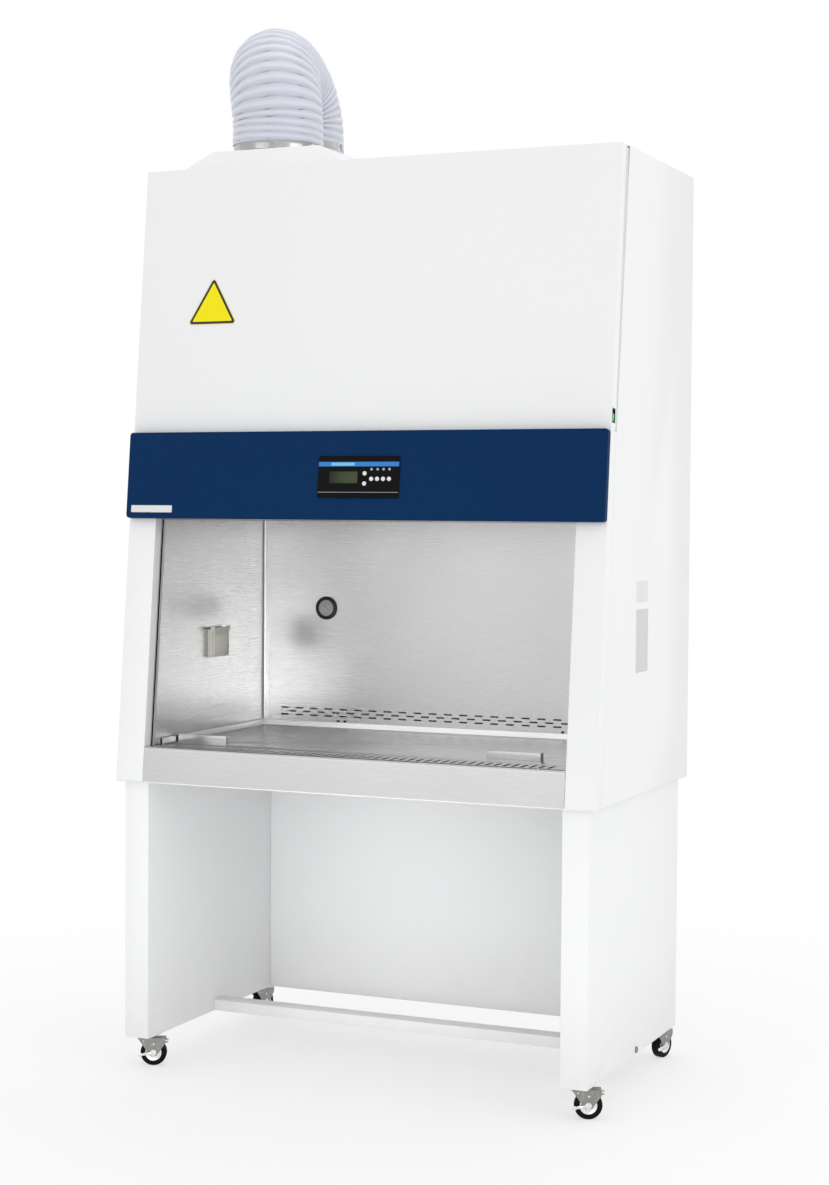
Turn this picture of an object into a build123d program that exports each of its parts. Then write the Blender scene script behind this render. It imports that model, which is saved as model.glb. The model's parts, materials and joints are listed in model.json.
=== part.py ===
from build123d import *
import os
from math import atan, cos, sin, tan, radians, pi

os.makedirs("parts", exist_ok=True)

# Biosafety cabinet on a wheeled stand. Millimetres, +Z up, the open front faces -Y.
# The origin is on the floor, under the middle of the cabinet's plan.

# Cabinet envelope
body_width = 1340
body_height = 1630
base_depth = 780
top_depth = 620
stand_top = 770
sheet = 3
inner_sheet = 2

# Front of the cabinet, heights above the floor
sill_top = 865
opening_top = 1467
band_top = 1694

# Depths behind the slanted front
seam_low = 46
seam_high = 60
cover_depth = 32
bulkhead_inset = 73
band_proud = 22

# Work chamber
chamber_gap = 70
rear_gap = 70
pillar_width = 80
tray_level = 862
tray_lip = 16
tray_skirt = 14
tray_gap = 3
ledge_width = 24
grille_depth = 80
sill_depth = 26
sill_radius = 9
slot_rows = 3
slot_margin = 40
slot_pitch = 47
slot_length = 25
slot_height = 4.5
slot_row_pitch = 10
slot_level = 905
grille_slot_length = 56
grille_slot_width = 9
diffuser_slot_length = 75
diffuser_slot_width = 9
diffuser_rows = 5

# Sash and its counterweights
sash_inset = 35
glass_thickness = 6
glass_length = 650
glass_clearance = 0.4
glass_engagement = 15
glass_seat = 8
handle_height = 30
handle_depth = 26
handle_gap = 6
handle_shadow = 1
handle_shell = 5
sash_travel = 600
guide_width = 22
guide_depth = 20
guide_top = 1400
tube_width = 54
tube_depth = 60
tube_wall = 3
tube_lap = 2
weight_clearance = 0.3
weight_length = 370

# Instrument band
panel_centre = 9
panel_level = 809
panel_width = 228
panel_height = 108
panel_proud = 3
panel_body_depth = 16
panel_rim = 4
panel_radius = 7
panel_edge = 1
button_diameter = 11
button_proud = 2
button_travel = 1.2
button_flange = 15
button_flange_thickness = 2.5
button_clearance = 0.15
button_edge = 0.5
button_places = ((27, 818), (27, 792), (46, 804), (62.5, 804), (79, 804), (95.5, 804))
window_width = 82
window_height = 34
window_recess = 1
window_place = (-33, 808)
band_radius = 9
band_edge = 3

# Mains switch in the cover's right-hand return
switch_height = 36
switch_width = 24
switch_frame = 3
switch_level = 36
rocker_proud = 8
rocker_shoulder = 5
rocker_clearance = 1
rocker_tilt = 8
switch_depth = 14

# Chamber fittings
port_from_wall = 205
port_z = 1209
port_diameter = 68
port_bore = 48
port_proud = 7
outlet_from_rear = 359
outlet_z = 1118
outlet_width = 96
outlet_height = 78
outlet_depth = 14
outlet_lid = 4
outlet_margin = 6
outlet_pin = 5
service_from_rear = 422
service_z = 1165
service_width = 100
service_height = 160
service_flange = 8
handle_length = 146
handle_strap = 20
handle_thickness = 2.5
handle_return = 22
handle_seat = 1
handle_from_left = 84
handle_from_right = 214
handle_from_edge = 74.7

# Air system
filter_height = 90
filter_margin = 10
plenum_height = 80
scroll_radius = 190
scroll_width = 220
scroll_from_rear = 330
scroll_gap = 30
impeller_radius = 130
impeller_width = 170
inlet_radius = 95
shaft_diameter = 20
shaft_clearance = 0.05
blade_count = 24
blade_thickness = 2
blade_chord = 26
motor_radius = 55
motor_length = 120
spider_width = 34
boss_diameter = 44
lamp_margin = 40
lamp_height = 36
lamp_depth = 22
lamp_tube = 16

# Exhaust hood, damper and flexible duct
hood_from_side = 318
hood_from_rear = 406
duct_shift_x = -28
duct_shift_y = -14
duct_turn = 14
duct_lean = 30
duct_cuff = 50
cuff_stations = 4
duct_stations = 13
duct_diameter = 250
duct_wall = 4
duct_radius = 140
duct_rise = 84
duct_drop = 60
hood_base_width = 490
hood_base_depth = 340
hood_top_width = 316
hood_top_depth = 290
hood_height = 55
spigot_clearance = 0.5
spigot_wall = 2
spigot_bare = 24
spigot_height = 70
damper_gap = 2
damper_thickness = 2.5
damper_shaft = 8
lever_length = 52
lever_width = 14
lever_boss = 21
lever_thickness = 3
exhaust_filter_width = 500
exhaust_filter_ahead = 130
exhaust_filter_behind = 165
exhaust_opening = 250
exhaust_plenum = 70
collar_length = 46
collar_bead = 3

# Stand
leg_width = 70
leg_setback = 15
leg_inset = 20
leg_wall = 2.5
leg_bottom = 84
back_panel_depth = 22
back_panel_inset = 20
crossbar_height = 30
crossbar_depth = 55
crossbar_y = 18

# Casters
wheel_diameter = 70
wheel_width = 22
tyre_edge = 4
caster_trail = 20
caster_inset = 52
caster_angles = {"front_left": 23, "front_right": 23, "rear_left": 73, "rear_right": 73}
plate_size = 62
plate_thickness = 3
raceway_diameter = 44
fork_sheet = 2.5
fork_gap = 1.5
axle_diameter = 8
axle_clearance = 0.05
pedal_x = 27
pedal_z = 30
pedal_pin = 5
pedal_width = 20
pedal_length = 11
pedal_thickness = 3
pedal_clearance = 0.1

# Worked out from the above
tilt = atan((base_depth - top_depth) / body_height)
half_width = body_width / 2
rear = base_depth / 2
cabinet_top = stand_top + body_height
base_top = stand_top + sheet
half_chamber = half_width - chamber_gap
slot_columns = int(2 * (half_chamber - slot_margin) / slot_pitch)
half_opening = half_width - pillar_width
chamber_rear = rear - rear_gap
chamber_top = opening_top
port_x = port_from_wall - half_chamber
outlet_y = rear - outlet_from_rear
service_y = rear - service_from_rear
scroll_y = rear - scroll_from_rear
hood_x = hood_from_side - half_width
hood_y = rear - hood_from_rear
duct_x = hood_x + duct_shift_x
duct_y = hood_y + duct_shift_y
front = Plane(
    origin=(0, -base_depth / 2, stand_top),
    x_dir=(1, 0, 0),
    z_dir=(0, -cos(tilt), sin(tilt)),
)


# Distance up the slanted front at a height above the floor
def up_front(z, inset=0):
    return (z - stand_top + inset * sin(tilt)) / cos(tilt)


# Depth of a plane that lies an inset behind the slanted front
def front_y(z, inset=0):
    return -base_depth / 2 + inset / cos(tilt) + (z - stand_top) * tan(tilt)


# Rectangular block on a plane, between two corners
def block(plane, x0, x1, y0, y1, height, mode=Mode.ADD):
    with BuildSketch(plane) as outline:
        with Locations(((x0 + x1) / 2, (y0 + y1) / 2)):
            Rectangle(x1 - x0, y1 - y0)
    extrude(outline.sketch, amount=height, mode=mode)


# Straight-sided prism on a plane
def prism(plane, points, height, mode=Mode.ADD, both=False):
    with BuildSketch(plane) as outline:
        with BuildLine():
            Polyline(*points, close=True)
        make_face()
    extrude(outline.sketch, amount=height, both=both, mode=mode)


# Round bar or hole on a plane
def disc(plane, x, y, diameter, height, mode=Mode.ADD, both=False):
    with BuildSketch(plane) as outline:
        with Locations((x, y)):
            Circle(diameter / 2)
    extrude(outline.sketch, amount=height, both=both, mode=mode)


def save(piece, name):
    piece.part.label = name
    export_step(piece.part, f"parts/{name}.step")


# ---- Outer case ----

with BuildPart() as base_pan:
    block(Plane.XY.offset(stand_top), -half_width, half_width, -rear, rear, sheet)
save(base_pan, "base_pan")

service_lo = (service_y - service_width / 2, service_z - service_height / 2)
service_hi = (service_y + service_width / 2, service_z + service_height / 2)

for side, hand in ((-1, "left"), (1, "right")):
    with BuildPart() as side_panel:
        prism(
            Plane.YZ.offset(side * half_width),
            (
                (front_y(base_top, seam_low), base_top),
                (front_y(band_top, seam_low), band_top),
                (front_y(cabinet_top, seam_high), cabinet_top),
                (rear, cabinet_top),
                (rear, base_top),
            ),
            -side * sheet,
        )
        if side > 0:
            block(
                Plane.YZ.offset(half_width - sheet),
                service_lo[0], service_hi[0], service_lo[1], service_hi[1],
                sheet, Mode.SUBTRACT,
            )
    save(side_panel, f"side_panel_{hand}")

case_half = half_width - sheet

with BuildPart() as rear_panel:
    block(Plane.XY.offset(base_top), -case_half, case_half, rear - sheet, rear, body_height - sheet)
save(rear_panel, "rear_panel")


with BuildPart() as top_panel:
    block(
        Plane.XY.offset(cabinet_top - sheet),
        -case_half, case_half, front_y(cabinet_top, cover_depth), rear - sheet, sheet,
    )
    block(
        Plane.XY.offset(cabinet_top - sheet),
        hood_x - exhaust_opening / 2, hood_x + exhaust_opening / 2,
        hood_y - exhaust_opening / 2, hood_y + exhaust_opening / 2,
        sheet, Mode.SUBTRACT,
    )
save(top_panel, "top_panel")

# Hollow cover with returns all round, open at the back
cover_lo = up_front(band_top)
cover_hi = up_front(cabinet_top)
switch_v = cover_lo + switch_level
switch_w = -cover_depth / 2

with BuildPart() as front_cover:
    block(front.offset(-cover_depth), -half_width, half_width, cover_lo, cover_hi, cover_depth)
    block(
        front.offset(-cover_depth),
        -case_half, case_half, cover_lo + sheet, cover_hi - sheet,
        cover_depth - sheet, Mode.SUBTRACT,
    )
    block(
        front.offset(switch_w - switch_width / 2),
        case_half, half_width,
        switch_v - switch_height / 2, switch_v + switch_height / 2,
        switch_width, Mode.SUBTRACT,
    )
save(front_cover, "front_cover")

tube_inner = half_opening + guide_width - tube_lap
tube_outer = tube_inner + tube_width

with BuildPart() as front_bulkhead:
    block(
        front.offset(-bulkhead_inset - sheet),
        -tube_inner, tube_inner,
        up_front(chamber_top), up_front(cabinet_top, bulkhead_inset + sheet), sheet,
    )
    split(bisect_by=Plane.XY.offset(chamber_top), keep=Keep.TOP)
    split(bisect_by=Plane.XY.offset(cabinet_top - sheet), keep=Keep.BOTTOM)
save(front_bulkhead, "front_bulkhead")

for side, hand in ((-1, "left"), (1, "right")):
    with BuildPart() as pillar:
        block(
            front.offset(-sheet),
            *sorted((side * half_opening, side * half_width)), 0, cover_lo, sheet,
        )
        block(
            front.offset(-seam_low),
            *sorted((side * case_half, side * half_width)), 0, cover_lo, seam_low,
        )
        block(
            front.offset(-cover_depth),
            *sorted((side * half_opening, side * (half_opening + sheet))), 0, cover_lo, cover_depth,
        )
        split(bisect_by=Plane.XY.offset(base_top), keep=Keep.TOP)
    save(pillar, f"pillar_{hand}")

# Box-section sill with a rounded top
sill_half = half_opening - glass_clearance
sill_back = front_y(sill_top) + sill_depth

with BuildPart() as front_sill:
    with BuildSketch(Plane.YZ) as sill_profile:
        with BuildLine():
            Polyline(
                (front_y(base_top), base_top),
                (front_y(sill_top), sill_top),
                (sill_back, sill_top),
                (sill_back, base_top),
                close=True,
            )
        make_face()
        fillet(sill_profile.vertices().group_by(Axis.Y)[-1], sill_radius)
        offset(amount=-inner_sheet, mode=Mode.SUBTRACT)
    extrude(amount=sill_half, both=True)
save(front_sill, "front_sill")

# ---- Work chamber ----

outlet_lo = (outlet_y - outlet_width / 2, outlet_z - outlet_height / 2)
outlet_hi = (outlet_y + outlet_width / 2, outlet_z + outlet_height / 2)
chamber_inset = cover_depth + guide_depth
ledge_top = tray_level - inner_sheet - tray_skirt

for side, hand in ((-1, "left"), (1, "right")):
    with BuildPart() as inner_wall:
        prism(
            Plane.YZ.offset(side * half_chamber),
            (
                (front_y(base_top, chamber_inset), base_top),
                (front_y(chamber_top, chamber_inset), chamber_top),
                (chamber_rear + inner_sheet, chamber_top),
                (chamber_rear + inner_sheet, base_top),
            ),
            side * inner_sheet,
        )
        block(
            Plane.YZ.offset(side * half_chamber),
            sill_back + grille_depth, chamber_rear, ledge_top - inner_sheet, ledge_top,
            -side * ledge_width,
        )
    save(inner_wall, f"inner_wall_{hand}")

with BuildPart() as inner_rear_wall:
    block(
        Plane.XZ.offset(-chamber_rear - inner_sheet),
        -half_chamber, half_chamber, ledge_top, chamber_top, inner_sheet,
    )
    with BuildSketch(Plane.XZ.offset(-chamber_rear)):
        for row in range(slot_rows):
            shift = (row % 2) * slot_pitch / 2
            with Locations((shift - slot_pitch / 4, slot_level + (row - 1) * slot_row_pitch)):
                with GridLocations(slot_pitch, 1, slot_columns, 1):
                    SlotOverall(slot_length, slot_height)
    extrude(amount=-inner_sheet, mode=Mode.SUBTRACT)
    with BuildSketch(Plane.XZ.offset(-chamber_rear)):
        with Locations((port_x, port_z)):
            Circle(port_bore / 2 + glass_clearance)
    extrude(amount=-inner_sheet, mode=Mode.SUBTRACT)
save(inner_rear_wall, "inner_rear_wall")

tray_half = half_chamber - tray_gap
tray_front = sill_back + grille_depth
tray_rear = chamber_rear - glass_clearance
handle_middles = (handle_from_left - half_chamber, half_chamber - handle_from_right)
handle_y = tray_front + handle_from_edge


# Strap on edge with its ends turned back, or the seat pressed for it
def strap(plane, x, gap, height, mode=Mode.ADD):
    x0 = x - handle_length / 2 - gap
    x1 = x + handle_length / 2 + gap
    y0 = handle_y - gap
    y1 = handle_y + handle_return + gap
    wall = handle_thickness + 2 * gap
    prism(
        plane,
        (
            (x0, y0), (x1, y0), (x1, y1), (x1 - wall, y1),
            (x1 - wall, y0 + wall), (x0 + wall, y0 + wall), (x0 + wall, y1), (x0, y1),
        ),
        height, mode,
    )


with BuildPart() as work_tray:
    block(
        Plane.XY.offset(ledge_top),
        -tray_half, tray_half, tray_front, tray_rear, tray_skirt + inner_sheet + tray_lip,
    )
    block(
        Plane.XY.offset(ledge_top),
        -tray_half + inner_sheet, tray_half - inner_sheet,
        tray_front + inner_sheet, tray_rear - inner_sheet, tray_skirt, Mode.SUBTRACT,
    )
    block(
        Plane.XY.offset(tray_level),
        -tray_half + inner_sheet, tray_half - inner_sheet,
        tray_front, tray_rear - inner_sheet, tray_lip, Mode.SUBTRACT,
    )
    for x in handle_middles:
        strap(
            Plane.XY.offset(tray_level - handle_seat),
            x, button_clearance, handle_seat, Mode.SUBTRACT,
        )
save(work_tray, "work_tray")

with BuildPart() as tray_handles:
    for x in handle_middles:
        strap(Plane.XY.offset(tray_level - handle_seat), x, 0, handle_seat + handle_strap)
save(tray_handles, "tray_handles")

grille_half = half_opening - inner_sheet
grille_bottom = tray_level - inner_sheet - tray_skirt

with BuildPart() as front_grille:
    block(
        Plane.XY.offset(grille_bottom),
        -grille_half, grille_half, sill_back, tray_front, tray_skirt + inner_sheet,
    )
    block(
        Plane.XY.offset(grille_bottom),
        -grille_half, grille_half,
        sill_back + inner_sheet, tray_front - inner_sheet, tray_skirt, Mode.SUBTRACT,
    )
    with BuildSketch(Plane.XY.offset(tray_level - inner_sheet)):
        with Locations((0, (sill_back + tray_front) / 2)):
            with GridLocations(slot_pitch / 2, 1, 2 * slot_columns, 1):
                SlotOverall(grille_slot_length, grille_slot_width, rotation=90)
    extrude(amount=inner_sheet, mode=Mode.SUBTRACT)
save(front_grille, "front_grille")

# Round cable port with a plug, seated on the rear wall
with BuildPart() as wall_port:
    disc(Plane.XZ.offset(-chamber_rear), port_x, port_z, port_diameter, port_proud)
    disc(
        Plane.XZ.offset(-chamber_rear + port_proud / 2),
        port_x, port_z, port_bore, port_proud, Mode.SUBTRACT,
    )
    disc(Plane.XZ.offset(-chamber_rear), port_x, port_z, port_bore, -inner_sheet)
save(wall_port, "wall_port")

outlet_face = -half_chamber + outlet_depth
lid_half = outlet_width / 2 - outlet_margin
ear_width = outlet_margin - 1
hinge_z = outlet_hi[1] + outlet_pin / 2
hinge_x = outlet_face + outlet_lid / 2

# Socket box with two hinge ears, and its flip lid
with BuildPart() as outlet_box:
    block(
        Plane.YZ.offset(-half_chamber),
        outlet_lo[0], outlet_hi[0], outlet_lo[1], outlet_hi[1], outlet_depth,
    )
    block(
        Plane.YZ.offset(-half_chamber),
        outlet_lo[0] + sheet, outlet_hi[0] - sheet,
        outlet_lo[1] + sheet, outlet_hi[1] - sheet, outlet_depth - sheet, Mode.SUBTRACT,
    )
    for end in (-1, 1):
        ear_outer = outlet_y + end * outlet_width / 2
        block(
            Plane.XZ.offset(-ear_outer),
            outlet_face - outlet_pin, hinge_x + outlet_pin,
            outlet_hi[1] - outlet_pin, hinge_z + outlet_pin, end * ear_width,
        )
        disc(
            Plane.XZ.offset(-ear_outer),
            hinge_x, hinge_z, outlet_pin + 2 * axle_clearance, end * ear_width, Mode.SUBTRACT,
        )
save(outlet_box, "outlet_box")

with BuildPart() as outlet_cover:
    block(
        Plane.YZ.offset(outlet_face),
        outlet_y - lid_half, outlet_y + lid_half,
        outlet_lo[1] + outlet_margin, hinge_z, outlet_lid,
    )
    disc(
        Plane.XZ.offset(-outlet_y),
        hinge_x, hinge_z, outlet_pin, outlet_width / 2, both=True,
    )
save(outlet_cover, "outlet_cover")

# Cover of the service port in the right-hand panel, set in from its face
with BuildPart() as side_port_cover:
    block(
        Plane.YZ.offset(case_half),
        service_lo[0] + button_clearance, service_hi[0] - button_clearance,
        service_lo[1] + button_clearance, service_hi[1] - button_clearance, inner_sheet,
    )
    block(
        Plane.YZ.offset(case_half),
        service_lo[0] - service_flange, service_hi[0] + service_flange,
        service_lo[1] - service_flange, service_hi[1] + service_flange, -inner_sheet,
    )
save(side_port_cover, "side_port_cover")

# ---- Sash ----

glass_half = half_opening + glass_engagement - glass_clearance
handle_lo = up_front(opening_top) + handle_shadow
glass_lo = handle_lo + glass_seat
handle_half = half_opening - handle_gap
handle_back = sash_inset + glass_thickness + handle_shell

with BuildPart() as sash_glass:
    block(
        front.offset(-sash_inset - glass_thickness),
        -glass_half, glass_half, glass_lo, glass_lo + glass_length, glass_thickness,
    )
save(sash_glass, "sash_glass")

with BuildPart() as sash_handle:
    block(
        front.offset(-handle_back),
        -handle_half, handle_half, handle_lo, handle_lo + handle_height, handle_depth,
    )
    block(
        front.offset(-sash_inset - glass_thickness),
        -handle_half, handle_half, glass_lo, handle_lo + handle_height,
        glass_thickness, Mode.SUBTRACT,
    )
save(sash_handle, "sash_handle")

# Glass channels with the counterweight tubes behind them
with BuildPart() as sash_guides:
    for side in (-1, 1):
        block(
            front.offset(-chamber_inset),
            *sorted((side * half_opening, side * (half_opening + guide_width))),
            0, guide_top, guide_depth,
        )
        block(
            front.offset(-sash_inset - glass_thickness - glass_clearance),
            *sorted((side * half_opening, side * (half_opening + glass_engagement))),
            0, guide_top, glass_thickness + 2 * glass_clearance, Mode.SUBTRACT,
        )
        block(
            front.offset(-chamber_inset - tube_depth + tube_wall),
            *sorted((side * tube_inner, side * tube_outer)), 0, guide_top, tube_depth,
        )
        block(
            front.offset(-chamber_inset - tube_depth + 2 * tube_wall),
            *sorted((side * (tube_inner + tube_wall), side * (tube_outer - tube_wall))),
            0, guide_top, tube_depth - 2 * tube_wall, Mode.SUBTRACT,
        )
    split(bisect_by=Plane.XY.offset(base_top), keep=Keep.TOP)
save(sash_guides, "sash_guides")

weight_lo = up_front(sill_top)

with BuildPart() as sash_counterweights:
    for side in (-1, 1):
        block(
            front.offset(-chamber_inset - tube_depth + 2 * tube_wall + weight_clearance),
            *sorted((
                side * (tube_inner + tube_wall + weight_clearance),
                side * (tube_outer - tube_wall - weight_clearance),
            )),
            weight_lo, weight_lo + weight_length,
            tube_depth - 2 * tube_wall - 2 * weight_clearance,
        )
save(sash_counterweights, "sash_counterweights")
print("sash handle bottom", round(handle_lo, 1), "weights from", round(weight_lo, 1))

# ---- Instrument band ----

band_lo = up_front(opening_top)
band_hi = cover_lo
body_w0 = band_proud - panel_body_depth
panel_lo = panel_level - panel_height / 2
panel_hi = panel_level + panel_height / 2
panel_x0 = panel_centre - panel_width / 2
panel_x1 = panel_centre + panel_width / 2

with BuildPart() as instrument_band:
    with BuildSketch(front):
        with Locations((0, (band_lo + band_hi) / 2)):
            RectangleRounded(body_width, band_hi - band_lo, band_radius)
    extrude(amount=band_proud)
    fillet(instrument_band.faces().sort_by(Axis.Y)[0].edges(), band_edge)
    block(
        front,
        -case_half, case_half, band_lo + sheet, band_hi - sheet, band_proud - sheet, Mode.SUBTRACT,
    )
    block(
        front.offset(band_proud - sheet),
        panel_x0 + panel_rim, panel_x1 - panel_rim, panel_lo + panel_rim, panel_hi - panel_rim,
        sheet, Mode.SUBTRACT,
    )
save(instrument_band, "instrument_band")

panel_face = band_proud + panel_proud

with BuildPart() as control_panel:
    with BuildSketch(front.offset(band_proud)):
        with Locations((panel_centre, panel_level)):
            RectangleRounded(panel_width, panel_height, panel_radius)
    extrude(amount=panel_proud)
    fillet(control_panel.faces().sort_by(Axis.Y)[0].edges(), panel_edge)
    inner = panel_rim + button_clearance
    block(
        front.offset(body_w0),
        panel_x0 + inner, panel_x1 - inner, panel_lo + inner, panel_hi - inner, panel_body_depth,
    )
    inner += inner_sheet
    block(
        front.offset(body_w0),
        panel_x0 + inner, panel_x1 - inner, panel_lo + inner, panel_hi - inner,
        panel_body_depth, Mode.SUBTRACT,
    )
    for x, v in button_places:
        disc(
            front.offset(band_proud),
            x, v, button_diameter + 2 * button_clearance, panel_proud, Mode.SUBTRACT,
        )
    block(
        front.offset(panel_face - window_recess),
        window_place[0] - window_width / 2, window_place[0] + window_width / 2,
        window_place[1] - window_height / 2, window_place[1] + window_height / 2,
        window_recess, Mode.SUBTRACT,
    )
save(control_panel, "control_panel")

for number, (x, v) in enumerate(button_places, 1):
    with BuildPart() as button:
        flange_back = band_proud - button_flange_thickness - button_clearance
        disc(front.offset(flange_back), x, v, button_flange, button_flange_thickness)
        disc(
            front.offset(flange_back),
            x, v, button_diameter, panel_face + button_proud - flange_back,
        )
        fillet(button.edges().sort_by(Axis.Y)[0], button_edge)
    save(button, f"button_{number}")

# Mains switch: a frame flush with the cover's return and a rocker in it
frame_u = half_width - switch_depth

with BuildPart() as switch_frame_part:
    block(
        front.offset(switch_w - switch_width / 2),
        frame_u, half_width, switch_v - switch_height / 2, switch_v + switch_height / 2,
        switch_width,
    )
    block(
        front.offset(switch_w - switch_width / 2 + switch_frame),
        frame_u + inner_sheet, half_width,
        switch_v - switch_height / 2 + switch_frame, switch_v + switch_height / 2 - switch_frame,
        switch_width - 2 * switch_frame, Mode.SUBTRACT,
    )
save(switch_frame_part, "power_switch_frame")

rocker_u = half_width - rocker_proud - rocker_clearance
rocker_half = switch_height / 2 - switch_frame - rocker_clearance
rocker_w = switch_width / 2 - switch_frame - axle_clearance

with BuildPart() as power_switch_rocker:
    with BuildSketch(front.offset(switch_w - rocker_w)):
        with Locations((rocker_u, switch_v)):
            Polygon(
                (rocker_shoulder, -rocker_half),
                (rocker_proud, 0),
                (rocker_shoulder, rocker_half),
                (-inner_sheet, rocker_half / 2),
                (-inner_sheet, -rocker_half / 2),
                rotation=rocker_tilt,
                align=None,
            )
    extrude(amount=2 * rocker_w)
save(power_switch_rocker, "power_switch_rocker")

# ---- Air system ----

plenum_level = chamber_top + sheet + filter_height + plenum_height
filter_front = front_y(plenum_level, bulkhead_inset + sheet) + filter_margin
filter_rear = chamber_rear + inner_sheet
filter_half = half_chamber - filter_margin
filter_base = chamber_top + sheet
plenum_base = filter_base + filter_height
plenum_top = plenum_base + plenum_height

with BuildPart() as diffuser_grille:
    block(
        Plane.XY.offset(chamber_top),
        -half_chamber - inner_sheet, half_chamber + inner_sheet,
        front_y(filter_base, bulkhead_inset + sheet), chamber_rear + inner_sheet, sheet,
    )
    with BuildSketch(Plane.XY.offset(chamber_top)):
        with Locations((0, (filter_front + filter_rear) / 2)):
            with GridLocations(2 * slot_pitch, 2 * slot_pitch, slot_columns // 2, diffuser_rows):
                SlotOverall(diffuser_slot_length, diffuser_slot_width)
    extrude(amount=sheet, mode=Mode.SUBTRACT)
save(diffuser_grille, "diffuser_grille")

with BuildPart() as supply_filter:
    block(
        Plane.XY.offset(filter_base),
        -filter_half, filter_half, filter_front, filter_rear, filter_height,
    )
save(supply_filter, "supply_filter")

scroll_z = plenum_top + scroll_gap + scroll_radius
scroll_half = scroll_width / 2
scroll_back = scroll_y + scroll_radius

# Plenum over the filter with the fan's scroll welded on top
with BuildPart() as supply_fan_housing:
    block(
        Plane.XY.offset(plenum_base),
        -filter_half, filter_half, filter_front, filter_rear, plenum_height,
    )
    disc(Plane.YZ, scroll_y, scroll_z, 2 * scroll_radius, scroll_half, both=True)
    block(
        Plane.XY.offset(plenum_top - sheet),
        -scroll_half, scroll_half, scroll_y, scroll_back, scroll_z - plenum_top,
    )
    block(
        Plane.XY.offset(plenum_base),
        -filter_half + sheet, filter_half - sheet,
        filter_front + sheet, filter_rear - sheet, plenum_height - sheet, Mode.SUBTRACT,
    )
    disc(
        Plane.YZ, scroll_y, scroll_z, 2 * (scroll_radius - sheet), scroll_half - sheet,
        Mode.SUBTRACT, both=True,
    )
    block(
        Plane.XY.offset(plenum_top - sheet),
        -scroll_half + sheet, scroll_half - sheet,
        scroll_y + sheet, scroll_back - sheet, scroll_z - plenum_top, Mode.SUBTRACT,
    )
    disc(
        Plane.YZ, scroll_y, scroll_z, 2 * inlet_radius, scroll_half, Mode.SUBTRACT, both=True,
    )
    for side in (-1, 1):
        face = Plane.YZ.offset(side * (scroll_half - sheet))
        block(
            face, scroll_y - inlet_radius, scroll_y + inlet_radius,
            scroll_z - spider_width / 2, scroll_z + spider_width / 2, side * sheet,
        )
        disc(face, scroll_y, scroll_z, boss_diameter, side * sheet)
        disc(
            face, scroll_y, scroll_z, shaft_diameter + 2 * shaft_clearance, side * sheet,
            Mode.SUBTRACT,
        )
save(supply_fan_housing, "supply_fan_housing")

# Impeller on an external-rotor motor, with its shaft
blade_ring = impeller_radius - blade_chord / 2

with BuildPart() as fan_impeller:
    disc(Plane.YZ, scroll_y, scroll_z, 2 * impeller_radius, sheet / 2, both=True)
    disc(Plane.YZ, scroll_y, scroll_z, 2 * motor_radius, motor_length / 2, both=True)
    disc(Plane.YZ, scroll_y, scroll_z, shaft_diameter, scroll_half, both=True)
    with BuildSketch(Plane.YZ):
        with Locations((scroll_y, scroll_z)):
            with PolarLocations(blade_ring, blade_count):
                Rectangle(blade_chord, blade_thickness)
    extrude(amount=impeller_width / 2, both=True)
    for side in (-1, 1):
        with BuildSketch(Plane.YZ.offset(side * impeller_width / 2)):
            with Locations((scroll_y, scroll_z)):
                Circle(impeller_radius)
                Circle(impeller_radius - blade_chord, mode=Mode.SUBTRACT)
        extrude(amount=-side * sheet)
save(fan_impeller, "fan_impeller")

# Slim lamp under the bulkhead: a channel open downwards and its tube
lamp_v = band_lo + 2 * filter_margin
lamp_hi = lamp_v + lamp_height
lamp_w = -bulkhead_inset
lamp_half = half_chamber - lamp_margin

with BuildPart() as lamp_fixture:
    block(front.offset(lamp_w), -lamp_half, lamp_half, lamp_v, lamp_hi, lamp_depth)
    block(
        front.offset(lamp_w + inner_sheet),
        -lamp_half + inner_sheet, lamp_half - inner_sheet,
        lamp_v, lamp_hi - inner_sheet, lamp_depth - 2 * inner_sheet, Mode.SUBTRACT,
    )
    with BuildSketch(Plane.YZ):
        with Locations((
            front_y(stand_top) + (lamp_v + lamp_tube) * sin(tilt)
            - (lamp_w + lamp_depth / 2) * cos(tilt),
            stand_top + (lamp_v + lamp_tube) * cos(tilt) + (lamp_w + lamp_depth / 2) * sin(tilt),
        )):
            Circle(lamp_tube / 2)
    extrude(amount=lamp_half - inner_sheet, both=True)
save(lamp_fixture, "lamp_fixture")

# ---- Exhaust ----

duct_inner = duct_diameter / 2 - duct_wall
spigot_radius = duct_inner - spigot_clearance
plateau = cabinet_top + hood_height
shaft_z = plateau + spigot_bare / 2
shaft_run = duct_diameter / 2 + 2 * lever_thickness

filter_x0 = hood_x - exhaust_filter_width / 2
filter_x1 = hood_x + exhaust_filter_width / 2
filter_y0 = hood_y - exhaust_filter_ahead
filter_y1 = hood_y + exhaust_filter_behind

with BuildPart() as exhaust_filter:
    block(
        Plane.XY.offset(cabinet_top - sheet - exhaust_plenum - filter_height),
        filter_x0, filter_x1, filter_y0, filter_y1, filter_height + exhaust_plenum,
    )
    block(
        Plane.XY.offset(cabinet_top - sheet - exhaust_plenum),
        filter_x0 + sheet, filter_x1 - sheet, filter_y0 + sheet, filter_y1 - sheet,
        exhaust_plenum, Mode.SUBTRACT,
    )
save(exhaust_filter, "exhaust_filter")

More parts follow.
